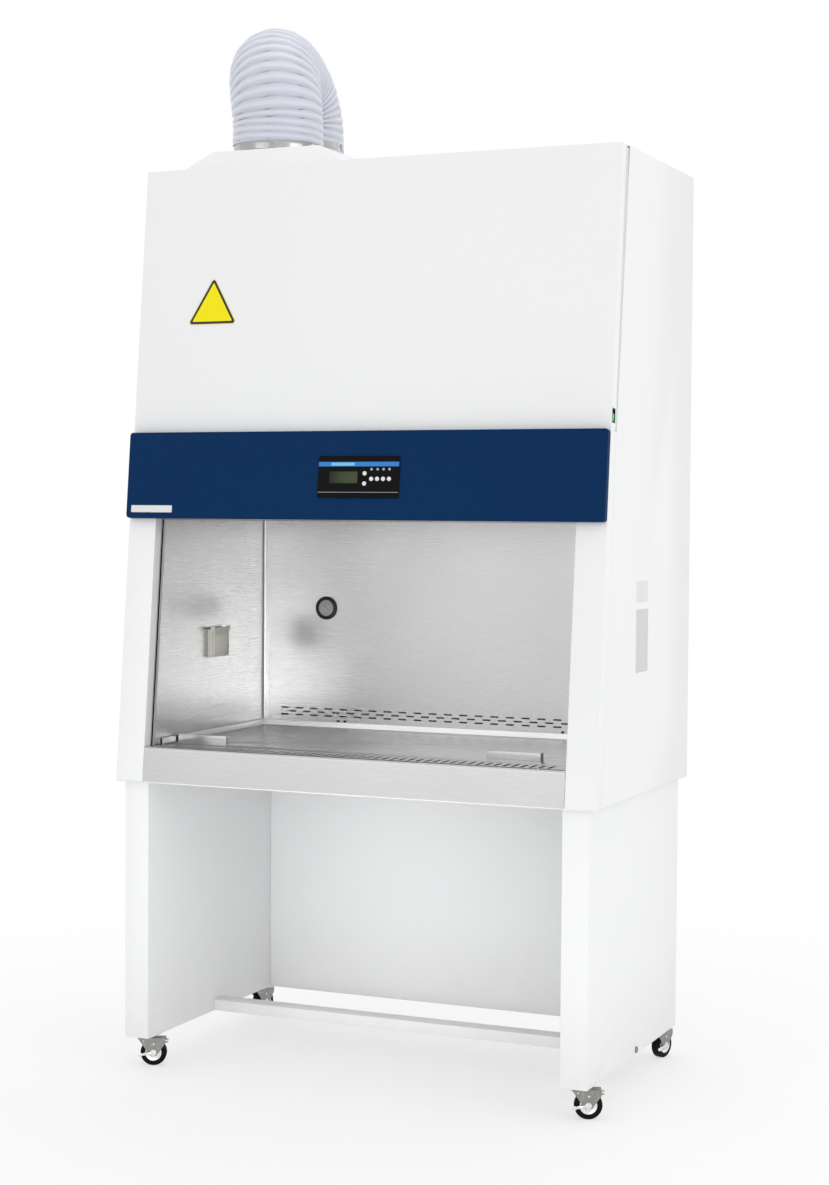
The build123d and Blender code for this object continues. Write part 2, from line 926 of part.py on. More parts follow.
with BuildPart() as exhaust_hood:
    with BuildSketch(Plane.XY.offset(cabinet_top)):
        with Locations((hood_x, hood_y)):
            Rectangle(hood_base_width, hood_base_depth)
    with BuildSketch(Plane.XY.offset(plateau)):
        with Locations((hood_x, hood_y)):
            Rectangle(hood_top_width, hood_top_depth)
    loft()
    with BuildSketch(Plane.XY.offset(cabinet_top)):
        with Locations((hood_x, hood_y)):
            Rectangle(hood_base_width - 2 * sheet, hood_base_depth - 2 * sheet)
    with BuildSketch(Plane.XY.offset(plateau - sheet)):
        with Locations((hood_x, hood_y)):
            Rectangle(hood_top_width - 2 * sheet, hood_top_depth - 2 * sheet)
    loft(mode=Mode.SUBTRACT)
    disc(Plane.XY.offset(plateau - sheet), duct_x, duct_y, 2 * spigot_radius, spigot_height + sheet)
    disc(
        Plane.XY.offset(plateau - sheet),
        duct_x, duct_y, 2 * (spigot_radius - spigot_wall), spigot_height + sheet, Mode.SUBTRACT,
    )
    disc(
        Plane.YZ.offset(duct_x), duct_y, shaft_z, damper_shaft + 2 * axle_clearance, spigot_radius,
        Mode.SUBTRACT, both=True,
    )
save(exhaust_hood, "exhaust_hood")

# Butterfly blade on a shaft, with a lever outside the spigot
with BuildPart() as damper_blade:
    disc(
        Plane.XZ.offset(-duct_y), duct_x, shaft_z,
        2 * (spigot_radius - spigot_wall - damper_gap), damper_thickness / 2, both=True,
    )
    disc(Plane.YZ.offset(duct_x), duct_y, shaft_z, damper_shaft, shaft_run, both=True)
    lever_plane = Plane.YZ.offset(duct_x + shaft_run - lever_thickness)
    block(
        lever_plane, duct_y - lever_length, duct_y,
        shaft_z - lever_width / 2, shaft_z + lever_width / 2, lever_thickness,
    )
    disc(lever_plane, duct_y, shaft_z, lever_boss, lever_thickness)
save(damper_blade, "damper_blade")

turn = radians(duct_turn)
duct_base = plateau + spigot_bare
duct_end_x = duct_x - 2 * duct_radius * sin(turn)
duct_end_y = duct_y + 2 * duct_radius * cos(turn)
duct_end_z = duct_base + duct_rise - duct_drop

duct_length = duct_rise + pi * duct_radius + duct_drop
duct_free = duct_length - 2 * duct_cuff
cuff_runs = [duct_cuff * i / cuff_stations for i in range(cuff_stations)]
free_runs = [duct_cuff + duct_free * i / (duct_stations - 1) for i in range(duct_stations)]
duct_runs = cuff_runs + free_runs + [duct_length - run for run in reversed(cuff_runs)]


# Middle of the duct: up, over in a half turn and down, leaning aside between its straight ends
def duct_point(run):
    angle = min(max((run - duct_rise) / duct_radius, 0), pi)
    along = duct_radius * (1 - cos(angle))
    height = min(run, duct_rise) + duct_radius * sin(angle) - max(run - duct_length + duct_drop, 0)
    share = min(max((run - duct_cuff) / duct_free, 0), 1)
    lean = duct_lean * sin(pi * share) ** 2
    return (
        duct_x - along * sin(turn) - lean * cos(turn),
        duct_y + along * cos(turn) - lean * sin(turn),
        duct_base + height,
    )


with BuildPart() as flexible_duct:
    with BuildLine() as duct_line:
        Spline(*[duct_point(run) for run in duct_runs], tangents=((0, 0, 1), (0, 0, -1)))
    with BuildSketch(Plane.XY.offset(duct_base)):
        with Locations((duct_x, duct_y)):
            Circle(duct_diameter / 2)
            Circle(duct_inner, mode=Mode.SUBTRACT)
    sweep(path=duct_line.line)
save(flexible_duct, "flexible_duct")
print("duct top", round(flexible_duct.part.bounding_box().max.Z, 1))
print("duct end", round(duct_end_x, 1), round(duct_end_y, 1), round(duct_end_z, 1))

# Plain spigot in the free end, with a bead that stops the duct
with BuildPart() as duct_end_collar:
    with BuildSketch(Plane.XY.offset(duct_end_z + collar_length / 2)):
        with Locations((duct_end_x, duct_end_y)):
            Circle(duct_inner)
            Circle(duct_inner - spigot_wall, mode=Mode.SUBTRACT)
    extrude(amount=-collar_length)
    with BuildSketch(Plane.XY.offset(duct_end_z)):
        with Locations((duct_end_x, duct_end_y)):
            Circle(duct_diameter / 2)
            Circle(duct_inner - spigot_wall, mode=Mode.SUBTRACT)
    extrude(amount=-collar_bead)
save(duct_end_collar, "duct_end_collar")

# ---- Stand ----

leg_outer = half_width - leg_inset
leg_inner = leg_outer - leg_width
leg_y = rear - leg_setback
plate_z = leg_bottom - plate_thickness
caster_y = leg_y - caster_inset

for side, hand in ((-1, "left"), (1, "right")):
    x0, x1 = sorted((side * leg_inner, side * leg_outer))
    with BuildPart() as stand_leg:
        block(Plane.XY.offset(leg_bottom), x0, x1, -leg_y, leg_y, stand_top - leg_bottom)
        block(
            Plane.XY.offset(leg_bottom + leg_wall),
            x0 + leg_wall, x1 - leg_wall, -leg_y + leg_wall, leg_y - leg_wall,
            stand_top - leg_bottom - leg_wall, Mode.SUBTRACT,
        )
        for end in (-1, 1):
            block(
                Plane.XY.offset(plate_z),
                (x0 + x1 - plate_size) / 2, (x0 + x1 + plate_size) / 2,
                end * caster_y - plate_size / 2, end * caster_y + plate_size / 2, plate_thickness,
            )
    save(stand_leg, f"stand_leg_{hand}")

panel_y = leg_y - back_panel_inset

with BuildPart() as stand_back_panel:
    block(
        Plane.XY.offset(leg_bottom),
        -leg_inner, leg_inner, panel_y - back_panel_depth, panel_y, stand_top - leg_bottom,
    )
    block(
        Plane.XY.offset(leg_bottom + leg_wall),
        -leg_inner + leg_wall, leg_inner - leg_wall,
        panel_y - back_panel_depth + leg_wall, panel_y,
        stand_top - leg_bottom - 2 * leg_wall, Mode.SUBTRACT,
    )
save(stand_back_panel, "stand_back_panel")

with BuildPart() as stand_crossbar:
    block(
        Plane.YZ.offset(-leg_inner),
        crossbar_y - crossbar_depth / 2, crossbar_y + crossbar_depth / 2,
        leg_bottom, leg_bottom + crossbar_height, 2 * leg_inner,
    )
    block(
        Plane.YZ.offset(-leg_inner),
        crossbar_y - crossbar_depth / 2 + leg_wall, crossbar_y + crossbar_depth / 2 - leg_wall,
        leg_bottom + leg_wall, leg_bottom + crossbar_height - leg_wall, 2 * leg_inner,
        Mode.SUBTRACT,
    )
save(stand_crossbar, "stand_crossbar")

# ---- Casters ----

wheel_radius = wheel_diameter / 2
half_fork = wheel_width / 2 + fork_gap
crown_bottom = wheel_diameter + fork_sheet
leg_middle = (leg_inner + leg_outer) / 2

for name, angle in caster_angles.items():
    side = -1 if name.endswith("left") else 1
    end = -1 if name.startswith("front") else 1
    heading = radians(angle)
    trail = (cos(heading), sin(heading), 0)
    axle = (-sin(heading), cos(heading), 0)
    foot = (side * leg_middle, end * caster_y, 0)
    ground = Plane(origin=foot, x_dir=trail, z_dir=(0, 0, 1))
    upright = Plane(origin=foot, x_dir=trail, z_dir=(-axle[0], -axle[1], 0))

    # Swivel fork: raceway, crown, two cheeks and the axle
    with BuildPart() as fork:
        disc(ground.offset(crown_bottom), 0, 0, raceway_diameter, plate_z - crown_bottom)
        block(
            ground.offset(crown_bottom),
            -raceway_diameter / 2, caster_trail + pedal_x + pedal_pin,
            -half_fork - fork_sheet, half_fork + fork_sheet, fork_sheet,
        )
        for cheek in (-1, 1):
            prism(
                upright.offset(cheek * half_fork),
                (
                    (-raceway_diameter / 2, crown_bottom + fork_sheet),
                    (caster_trail + pedal_x + pedal_pin, crown_bottom + fork_sheet),
                    (caster_trail + pedal_x + pedal_pin, wheel_radius + pedal_z - pedal_pin),
                    (caster_trail + axle_diameter, wheel_radius - axle_diameter),
                    (caster_trail - axle_diameter, wheel_radius - axle_diameter),
                ),
                cheek * fork_sheet,
            )
            disc(
                upright.offset(cheek * half_fork),
                caster_trail + pedal_x, wheel_radius + pedal_z,
                pedal_pin + 2 * pedal_clearance, cheek * fork_sheet, Mode.SUBTRACT,
            )
        disc(upright, caster_trail, wheel_radius, axle_diameter, half_fork + fork_sheet, both=True)
    save(fork, f"caster_fork_{name}")

    with BuildPart() as wheel:
        disc(upright, caster_trail, wheel_radius, wheel_diameter, wheel_width / 2, both=True)
        fillet(wheel.edges().filter_by(GeomType.CIRCLE), tyre_edge)
        disc(
            upright, caster_trail, wheel_radius, axle_diameter + 2 * axle_clearance,
            wheel_width / 2, Mode.SUBTRACT, both=True,
        )
    save(wheel, f"caster_wheel_{name}")

    # Brake pedal: pin, cam nose over the tyre and a foot tab
    with BuildPart() as pedal:
        px = caster_trail + pedal_x
        pz = wheel_radius + pedal_z
        disc(upright, px, pz, pedal_pin, half_fork + fork_sheet, both=True)
        disc(upright, px, pz, 2 * pedal_pin, pedal_width / 2, both=True)
        prism(
            upright,
            (
                (px, pz - pedal_pin),
                (px + pedal_length, pz - pedal_thickness),
                (px + pedal_length, pz),
                (px, pz + pedal_pin - pedal_thickness),
            ),
            pedal_width / 2, both=True,
        )
    save(pedal, f"caster_brake_{name}")
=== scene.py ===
import json
import math
import random

import bmesh
import bpy
from mathutils import Matrix, Vector

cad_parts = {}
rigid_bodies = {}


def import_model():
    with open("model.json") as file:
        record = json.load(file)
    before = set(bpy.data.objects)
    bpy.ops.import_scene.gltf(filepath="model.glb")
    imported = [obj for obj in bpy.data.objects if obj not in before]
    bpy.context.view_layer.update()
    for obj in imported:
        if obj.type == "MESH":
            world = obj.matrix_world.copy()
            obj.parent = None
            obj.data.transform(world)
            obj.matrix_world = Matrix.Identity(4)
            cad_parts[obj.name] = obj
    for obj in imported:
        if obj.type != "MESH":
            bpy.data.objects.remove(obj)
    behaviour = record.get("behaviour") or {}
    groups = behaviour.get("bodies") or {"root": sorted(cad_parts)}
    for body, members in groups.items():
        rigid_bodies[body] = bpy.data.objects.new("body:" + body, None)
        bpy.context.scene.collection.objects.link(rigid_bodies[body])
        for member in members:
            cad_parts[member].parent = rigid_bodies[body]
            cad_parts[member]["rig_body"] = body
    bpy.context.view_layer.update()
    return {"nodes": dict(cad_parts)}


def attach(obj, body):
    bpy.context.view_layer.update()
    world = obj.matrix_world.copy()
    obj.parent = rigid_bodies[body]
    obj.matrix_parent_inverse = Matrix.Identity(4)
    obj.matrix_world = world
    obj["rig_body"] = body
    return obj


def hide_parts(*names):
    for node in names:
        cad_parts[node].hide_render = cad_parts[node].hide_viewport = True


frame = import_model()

nodes = frame["nodes"]
mm = 0.001


# Shader maths
class Wire:  # one output socket: arithmetic on it adds the nodes that work it out
    def __init__(self, finish, socket):
        self.finish = finish
        self.socket = socket

    def join(self, operation, first, second=0.0):
        isVector = any(isinstance(v, Wire) and v.socket.type == "VECTOR" for v in (first, second))
        kind = "ShaderNodeVectorMath" if isVector else "ShaderNodeMath"
        return self.finish.node(kind, {"operation": operation}, {0: first, 1: second})

    def __add__(self, other):
        return self.join("ADD", self, other)

    def __radd__(self, other):
        return self.join("ADD", other, self)

    def __sub__(self, other):
        return self.join("SUBTRACT", self, other)

    def __rsub__(self, other):
        return self.join("SUBTRACT", other, self)

    def __mul__(self, other):
        return self.join("MULTIPLY", self, other)

    def __rmul__(self, other):
        return self.join("MULTIPLY", other, self)


class Finish:  # a material and the few ways it is written
    def __init__(self, name, **fixed):
        self.material = bpy.data.materials.new(name)
        self.material.use_nodes = True
        self.tree = self.material.node_tree
        self.tree.nodes.clear()
        self.output = self.tree.nodes.new("ShaderNodeOutputMaterial")
        self.shader = self.tree.nodes.new("ShaderNodeBsdfPrincipled")
        self.tree.links.new(self.shader.outputs[0], self.output.inputs["Surface"])
        for socketName, value in fixed.items():
            self.plug(self.shader.inputs[socketName.replace("_", " ")], value)

    def plug(self, socket, value):
        if isinstance(value, Wire):
            self.tree.links.new(value.socket, socket)
        elif hasattr(value, "__len__") and len(value) == 3 and socket.type == "RGBA":
            socket.default_value = (*value, 1)
        elif socket.type == "VECTOR" and not hasattr(value, "__len__"):
            socket.default_value = (value, value, value)
        else:
            socket.default_value = value

    def node(self, kind, settings=None, values=None, out=0):
        made = self.tree.nodes.new(kind)
        for key, value in (settings or {}).items():
            if key == "stops":
                ramp = made.color_ramp
                while len(ramp.elements) < len(value):
                    ramp.elements.new(0.5)
                for element, (place, colour) in zip(ramp.elements, value):
                    element.position = place
                    element.color = (*colour, 1)
            else:
                setattr(made, key, value)
        for key, value in (values or {}).items():
            self.plug(made.inputs[key], value)
        return Wire(self, made.outputs[out])

    def place(self):  # where the point is, in metres
        return self.node("ShaderNodeTexCoord", out="Object")

    def axis(self, letter):
        return self.node("ShaderNodeSeparateXYZ", None, {0: self.place()}, out="XYZ".index(letter))

    def noise(self, scale, detail=2, stretch=(1, 1, 1), roughness=0.5):
        where = self.place() * stretch
        return self.node("ShaderNodeTexNoise", None,
                         {"Vector": where, "Scale": scale, "Detail": detail, "Roughness": roughness})

    def span(self, value, low, high, toLow, toHigh):
        return self.node("ShaderNodeMapRange", {"clamp": True},
                         {0: value, 1: low, 2: high, 3: toLow, 4: toHigh})

    def mix(self, factor, colourA, colourB, how="MIX"):
        return self.node("ShaderNodeMix", {"data_type": "RGBA", "blend_type": how},
                         {0: factor, 6: colourA, 7: colourB}, out=2)

    def bump(self, height, distance, strength=1.0):
        return self.node("ShaderNodeBump", None,
                         {"Height": height, "Distance": distance, "Strength": strength})

    def feed(self, **links):
        for socketName, value in links.items():
            self.plug(self.shader.inputs[socketName.replace("_", " ")], value)


finishes = {}


def keep(finish):
    finishes[finish.material.name] = finish.material
    return finish.material


# Paints
def powderCoat(name, look):
    paint = Finish(name, IOR=1.5, Specular_IOR_Level=look["gloss"], Coat_Roughness=0.25)
    cloud = paint.noise(look["cloudScale"], 3)
    grain = paint.noise(look["grainScale"], 2)
    dust = paint.span(paint.axis("Z"), look["dustLow"], look["dustHigh"], look["dust"], 0.0)
    tone = paint.mix(cloud, look["darker"], look["colour"])
    tone = paint.mix(paint.span(grain, 0.56, 0.72, 0.0, look["speckle"]), tone, look["speckColour"])
    tone = paint.mix(dust * paint.noise(14, 4), tone, look["dustColour"])
    paint.feed(Base_Color=tone,
               Roughness=look["rough"] + look["roughSwing"] * paint.noise(6, 3) + dust * 0.3,
               Normal=paint.bump(grain + paint.noise(look["grainScale"] * 0.31, 2) * 1.6, look["peel"], 0.5))
    return keep(paint)


whiteLook = dict(colour=(0.865, 0.87, 0.875), darker=(0.84, 0.845, 0.85), speckColour=(0.90, 0.905, 0.91),
                 speckle=0.25, cloudScale=1.7, grainScale=620, gloss=0.5, rough=0.33, roughSwing=0.10,
                 peel=0.00016, dust=0.35, dustLow=0.07, dustHigh=0.32, dustColour=(0.60, 0.59, 0.56))
navyLook = dict(colour=(0.0012, 0.0260, 0.094), darker=(0.0008, 0.0215, 0.080),
                speckColour=(0.008, 0.062, 0.185), speckle=0.8, cloudScale=2.3, grainScale=820, gloss=0.06,
                rough=0.46, roughSwing=0.08, peel=0.00028, dust=0.0, dustLow=0.0, dustHigh=0.1,
                dustColour=(0.3, 0.3, 0.3))
blackLook = dict(colour=(0.012, 0.012, 0.013), darker=(0.008, 0.008, 0.009), speckColour=(0.03, 0.03, 0.032),
                 speckle=0.5, cloudScale=9, grainScale=900, gloss=0.15, rough=0.42, roughSwing=0.12,
                 peel=0.00012, dust=0.0, dustLow=0.0, dustHigh=0.1, dustColour=(0.3, 0.3, 0.3))
whitePaint = powderCoat("whitePaint", whiteLook)
navyPaint = powderCoat("navyPaint", navyLook)
blackPaint = powderCoat("blackPaint", blackLook)


# Metals
def brushed(name, along, look):
    metal = Finish(name, Metallic=1.0, Anisotropic=look["stretchGloss"])
    stretch = {"X": (look["run"], 1, 1), "Y": (1, look["run"], 1), "Z": (1, 1, look["run"])}[along]
    fine = metal.noise(look["fineScale"], 2, stretch)
    broad = metal.noise(look["broadScale"], 3, stretch)
    cloud = metal.noise(look["cloudScale"], 2)
    tone = metal.mix(metal.span(fine * 0.6 + broad * 0.4, 0.36, 0.64, 0.0, 1.0), look["dark"], look["light"])
    # Cloudy darker patches: smudges on the stainless, painted reflection on the polished clamp
    tone = metal.mix(cloud * look["smear"], tone, look["smudgeAndReflectionColour"])
    metal.feed(Base_Color=tone,
               Roughness=look["rough"] + look["roughSwing"] * metal.span(broad, 0.3, 0.7, 0.0, 1.0)
               + cloud * 0.06, Normal=metal.bump(fine + broad, look["scratch"], 0.45))
    return keep(metal)


stainlessLook = dict(dark=(0.55, 0.547, 0.547), light=(0.64, 0.637, 0.637), smudgeAndReflectionColour=(0.44, 0.437, 0.437),
                     smear=0.45, run=0.010, fineScale=2600, broadScale=900, cloudScale=2.6, rough=0.22,
                     roughSwing=0.08, scratch=0.00002, stretchGloss=0.35)
aluminiumLook = dict(stainlessLook, dark=(0.66, 0.665, 0.67), light=(0.78, 0.785, 0.79), rough=0.30,
                     roughSwing=0.10, scratch=0.00004)
stainlessX = brushed("stainlessAcross", "X", stainlessLook)
stainlessY = brushed("stainlessBack", "Y", dict(stainlessLook, scratch=0.00003))
stainlessZ = brushed("stainlessUp", "Z", stainlessLook)
traySteel = brushed("traySteel", "X",
                    dict(stainlessLook, dark=(0.66, 0.655, 0.655), light=(0.76, 0.755, 0.755), rough=0.18,
                                           roughSwing=0.12, scratch=0.00003))
aluminiumX = brushed("satinAluminium", "X", aluminiumLook)


def zinc(name, look):
    plating = Finish(name, Metallic=1.0)
    cells = plating.node("ShaderNodeTexVoronoi", None,
                         {"Vector": plating.place(), "Scale": look["spangle"], "Randomness": 1.0},
                         out="Color")
    cellTone = plating.node("ShaderNodeSeparateXYZ", None, {0: cells})
    stain = plating.noise(look["stainScale"], 4)
    tone = plating.mix(plating.span(cellTone, 0.0, 1.0, 0.0, look["contrast"]), look["light"], look["dark"])
    tone = plating.mix(plating.span(stain, 0.5, 0.75, 0.0, 0.5), tone, look["stain"])
    plating.feed(Base_Color=tone, Roughness=look["rough"] + 0.16 * stain,
                 Normal=plating.bump(stain + cellTone * 0.3, look["pit"], 0.4))
    return keep(plating)


galvanised = zinc("galvanisedSheet", dict(spangle=70, stainScale=30, contrast=0.7, light=(0.62, 0.64, 0.66),
                                          dark=(0.42, 0.44, 0.47), stain=(0.5, 0.51, 0.52), rough=0.30,
                                          pit=0.0002))
zincPlate = zinc("zincPlate", dict(spangle=900, stainScale=90, contrast=0.5, light=(0.30, 0.305, 0.285),
                                   dark=(0.17, 0.175, 0.16), stain=(0.42, 0.425, 0.40), rough=0.24,
                                   pit=0.00008))
castIron = zinc("castWeight", dict(spangle=400, stainScale=90, contrast=0.6, light=(0.20, 0.20, 0.21),
                                   dark=(0.11, 0.11, 0.12), stain=(0.07, 0.065, 0.06), rough=0.5, pit=0.0006))


# Plastics, rubber, glass, paper
def plastic(name, colour, rough=0.4, spread=0.12, grain=700, pit=0.00008, gloss=0.5, **fixed):
    moulded = Finish(name, Specular_IOR_Level=gloss, **fixed)
    cloud = moulded.noise(25, 3)
    texture = moulded.noise(grain, 2)
    darker = tuple(c * (1 - spread) for c in colour)
    moulded.feed(Base_Color=moulded.mix(cloud * 0.6 + texture * 0.4, darker, colour),
                 Roughness=rough - 0.06 + 0.12 * cloud,
                 Normal=moulded.bump(texture, pit, 0.5))
    return keep(moulded)


panelBlack = plastic("panelBlack", (0.0062, 0.0062, 0.0062), rough=0.40, gloss=0.045)
buttonWhite = plastic("buttonWhite", (0.78, 0.79, 0.80), rough=0.35)
switchBlack = plastic("switchBlack", (0.018, 0.018, 0.018), rough=0.42)
portRubber = plastic("portRubber", (0.017, 0.016, 0.016), rough=0.55, spread=0.4)
outletCream = plastic("outletOlive", (0.80, 0.79, 0.71), rough=0.38)
coverGrey = plastic("coverGrey", (0.66, 0.67, 0.67), rough=0.45)
tyreBlack = plastic("tyreBlack", (0.0065, 0.0065, 0.0068), rough=0.50, spread=0.45, grain=500, pit=0.0002,
                    gloss=0.08)
# black of the tray clips, also the painted shade in the socket pin holes
blackPlasticAndHoleShade = plastic("blackPlasticAndHoleShade", (0.03, 0.03, 0.032), rough=0.6, spread=0.3)
plugGrey = plastic("plugGrey", (0.50, 0.50, 0.49), rough=0.45)
switchGreen = plastic("switchGreen", (0.01, 0.32, 0.10), rough=0.25, Emission_Color=(0.02, 0.75, 0.22, 1),
                      Emission_Strength=0.35)
stripeBlue = plastic("stripeBlue", (0.0, 0.19, 0.62), rough=0.35)
labelPale = plastic("labelPale", (0.74, 0.745, 0.75), rough=0.32, spread=0.05)
labelSilver = plastic("labelSilver", (0.55, 0.56, 0.57), rough=0.28, spread=0.1, Metallic=0.6)
signYellow = plastic("signYellow", (0.92, 0.80, 0.0), rough=0.40, spread=0.03, gloss=0.2)
signBlack = plastic("signBlack", (0.012, 0.012, 0.012), rough=0.35)
signPale = plastic("signPale", (0.86, 0.80, 0.46), rough=0.35, spread=0.05)
lightGrey = plastic("lightGrey", (0.42, 0.43, 0.44), rough=0.3)


def sashGlassFinish():
    glass = Finish("sashSafetyGlass", Roughness=0.02, IOR=1.5, Specular_IOR_Level=0.6,
                   Transmission_Weight=0.0)
    smear = glass.noise(9, 4)
    glass.feed(Base_Color=glass.mix(smear, (0.40, 0.52, 0.49), (0.50, 0.60, 0.58)),
               Alpha=glass.span(smear, 0.3, 0.7, 0.10, 0.17))
    return keep(glass)


def filterPaper():
    paper = Finish("filterPack", Specular_IOR_Level=0.2)
    pleatAndShade = paper.node("ShaderNodeTexWave", {"wave_type": "BANDS", "bands_direction": "X"},
                       {"Vector": paper.place(), "Scale": 42.0, "Distortion": 0.4, "Detail": 1.0}, out="Fac")
    # The pleat bands also darken the colour in the pleat valleys: painted shade
    paper.feed(Base_Color=paper.mix(pleatAndShade, (0.62, 0.62, 0.58), (0.84, 0.84, 0.80)),
               Roughness=0.85 - 0.1 * pleatAndShade, Normal=paper.bump(pleatAndShade, 0.004, 0.8))
    return keep(paper)


# foldShade is painted shade for the folds of the duct, ridgeHighlight a painted highlight for its crests
ductLook = dict(colour=(0.560, 0.575, 0.665), ridgeHighlight=(0.70, 0.72, 0.79), foldShade=(0.27, 0.27, 0.35))


def ductVinylFinish():
    vinyl = Finish("ductVinyl", Specular_IOR_Level=0.5, Subsurface_Weight=0.12, Subsurface_Scale=0.01,
                   Subsurface_Radius=(1.0, 0.95, 0.9), IOR=1.45)
    height = vinyl.node("ShaderNodeAttribute", {"attribute_name": "ridgeHeight"}, out="Fac")
    weave = vinyl.noise(380, 2)
    crease = vinyl.noise(34, 4, (1, 1, 1.6))
    # Painted shade darkens the folds and a painted highlight lightens the crests; the crease noise also
    # lightens patches toward the highlight colour
    tone = vinyl.mix(vinyl.span(height, 0.02, 0.62, 0.0, 1.0), ductLook["foldShade"], ductLook["colour"])
    tone = vinyl.mix(vinyl.span(height, 0.86, 1.0, 0.0, 0.85), tone, ductLook["ridgeHighlight"])
    tone = vinyl.mix(crease * 0.35, tone, ductLook["ridgeHighlight"])
    vinyl.feed(Base_Color=tone, Roughness=0.22 + 0.22 * crease,
               Normal=vinyl.bump(weave + crease * 5, 0.0006, 0.5))
    return keep(vinyl)


sashGlass = sashGlassFinish()
filterPack = filterPaper()
ductVinyl = ductVinylFinish()
print("finishes made:", len(finishes))

slotFinish = {
    "white_paint": whitePaint, "navy_paint": navyPaint, "black_paint": blackPaint, "stainless": stainlessX,
    "sash_safety_glass": sashGlass, "satin_aluminium": aluminiumX, "cast_weight": castIron,
    "galvanised_sheet": galvanised, "filter_pack": filterPack, "panel_black": panelBlack,
    "button_white": buttonWhite, "switch_black": switchBlack, "switch_green": switchGreen,
    "port_rubber": portRubber, "outlet_olive": outletCream, "cover_grey": coverGrey, "duct_vinyl": ductVinyl,
    "zinc_plate": zincPlate, "tyre_black": tyreBlack,
}
nodeFinish = {
    "inner_wall_left": stainlessY, "inner_wall_right": stainlessY, "work_tray": traySteel,
    "front_grille": traySteel,
}
slotNames = {}
for nodeName, thing in nodes.items():
    slotNames[nodeName] = thing.data.materials[0].name.split(".")[0]
    wanted = nodeFinish.get(nodeName) or slotFinish[slotNames[nodeName]]
    thing.data.materials.clear()
    thing.data.materials.append(wanted)
print("frame dressed:", len(nodes), "nodes")


# Ways of making pieces
def pieceFrom(bm, name, material, body, smooth=35):
    mesh = bpy.data.meshes.new(name)
    bmesh.ops.recalc_face_normals(bm, faces=bm.faces)
    for face in bm.faces:
        face.smooth = smooth > 0
    bm.to_mesh(mesh)
    bm.free()
    if smooth:
        mesh.set_sharp_from_angle(angle=math.radians(smooth))
    mesh.materials.append(material)
    made = bpy.data.objects.new(name, mesh)
    bpy.context.scene.collection.objects.link(made)
    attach(made, body)
    return made


# profile of (radius, height), about frameAt's Z
def addRevolved(bm, profile, frameAt, steps=48, start=0.0, sweep=math.tau):
    closed = abs(sweep - math.tau) < 1e-6
    turns = steps if closed else steps + 1
    rings = []
    for i in range(turns):
        angle = start + sweep * i / steps
        ring = [(r * math.cos(angle), r * math.sin(angle), h) for r, h in profile]
        rings.append([bm.verts.new(frameAt @ Vector(corner)) for corner in ring])
    for i in range(steps):
        near, far = rings[i], rings[(i + 1) % turns]
        for j in range(len(profile) - 1):
            corners = []
            for vert in (near[j], far[j], far[j + 1], near[j + 1]):
                if vert not in corners:
                    corners.append(vert)
            bm.faces.new(corners)
    bmesh.ops.remove_doubles(bm, verts=bm.verts, dist=1e-7)


# outline pulled up along frameAt's Z, its edges eased
def addSolid(bm, outline, low, high, frameAt, edge=0.0, segments=2):
    bottom = [bm.verts.new(frameAt @ Vector((x, y, low))) for x, y in outline]
    top = [bm.verts.new(frameAt @ Vector((x, y, high))) for x, y in outline]
    sides = []
    for i in range(len(outline)):
        j = (i + 1) % len(outline)
        sides.append(bm.faces.new((bottom[i], bottom[j], top[j], top[i])))
    caps = [bm.faces.new(bottom[::-1]), bm.faces.new(top)]
    if edge:
        rims = [e for face in caps for e in face.edges]
        bmesh.ops.bevel(bm, geom=rims, offset=edge, segments=segments, profile=0.5, affect="EDGES")


def roundedBox(width, height, radius, steps=5, cx=0.0, cy=0.0):
    points = []
    for sx, sy, begin in ((1, 1, 0), (-1, 1, 90), (-1, -1, 180), (1, -1, 270)):
        for k in range(steps + 1):
            angle = math.radians(begin + 90 * k / steps)
            points.append((cx + sx * (width / 2 - radius) + radius * math.cos(angle),
                           cy + sy * (height / 2 - radius) + radius * math.sin(angle)))
    return points


def roundedPolygon(corners, radius, steps=5):
    points = []
    count = len(corners)
    for i, corner in enumerate(corners):
        here, before, after = Vector(corner), Vector(corners[i - 1]), Vector(corners[(i + 1) % count])
        toBefore, toAfter = (before - here).normalized(), (after - here).normalized()
        half = toBefore.angle(toAfter) / 2
        reach = radius / math.tan(half)
        centre = here + (toBefore + toAfter).normalized() * radius / math.sin(half)
        first, last = here + toBefore * reach, here + toAfter * reach
        a0 = math.atan2(first.y - centre.y, first.x - centre.x)
        a1 = math.atan2(last.y - centre.y, last.x - centre.x)
        swing = (a1 - a0 + math.pi) % math.tau - math.pi
        points += [(centre.x + radius * math.cos(a0 + swing * k / steps),
                    centre.y + radius * math.sin(a0 + swing * k / steps)) for k in range(steps + 1)]
    return points


frontShape = dict(lean=160, height=1630, footY=-0.390, footZ=0.770)
tilt = math.atan(frontShape["lean"] / frontShape["height"])
frontFrame = Matrix(((1, 0, 0, 0), (0, math.sin(tilt), -math.cos(tilt), frontShape["footY"]),
                     (0, math.cos(tilt), math.sin(tilt), frontShape["footZ"]), (0, 0, 0, 1)))


def onFront(u, v, w=0.0):  # frame on the slanted front: across, up the slope, and out of it
    return frontFrame @ Matrix.Translation((u * mm, v * mm, w * mm))


def facing(place, out, up=(0, 0, 1)):  # frame at a place, its Z pointing out
    z = Vector(out).normalized()
    y = (Vector(up) - z * Vector(up).dot(z)).normalized()
    x = y.cross(z)
    return Matrix(((x.x, y.x, z.x, place[0]), (x.y, y.y, z.y, place[1]), (x.z, y.z, z.z, place[2]),
                   (0, 0, 0, 1)))


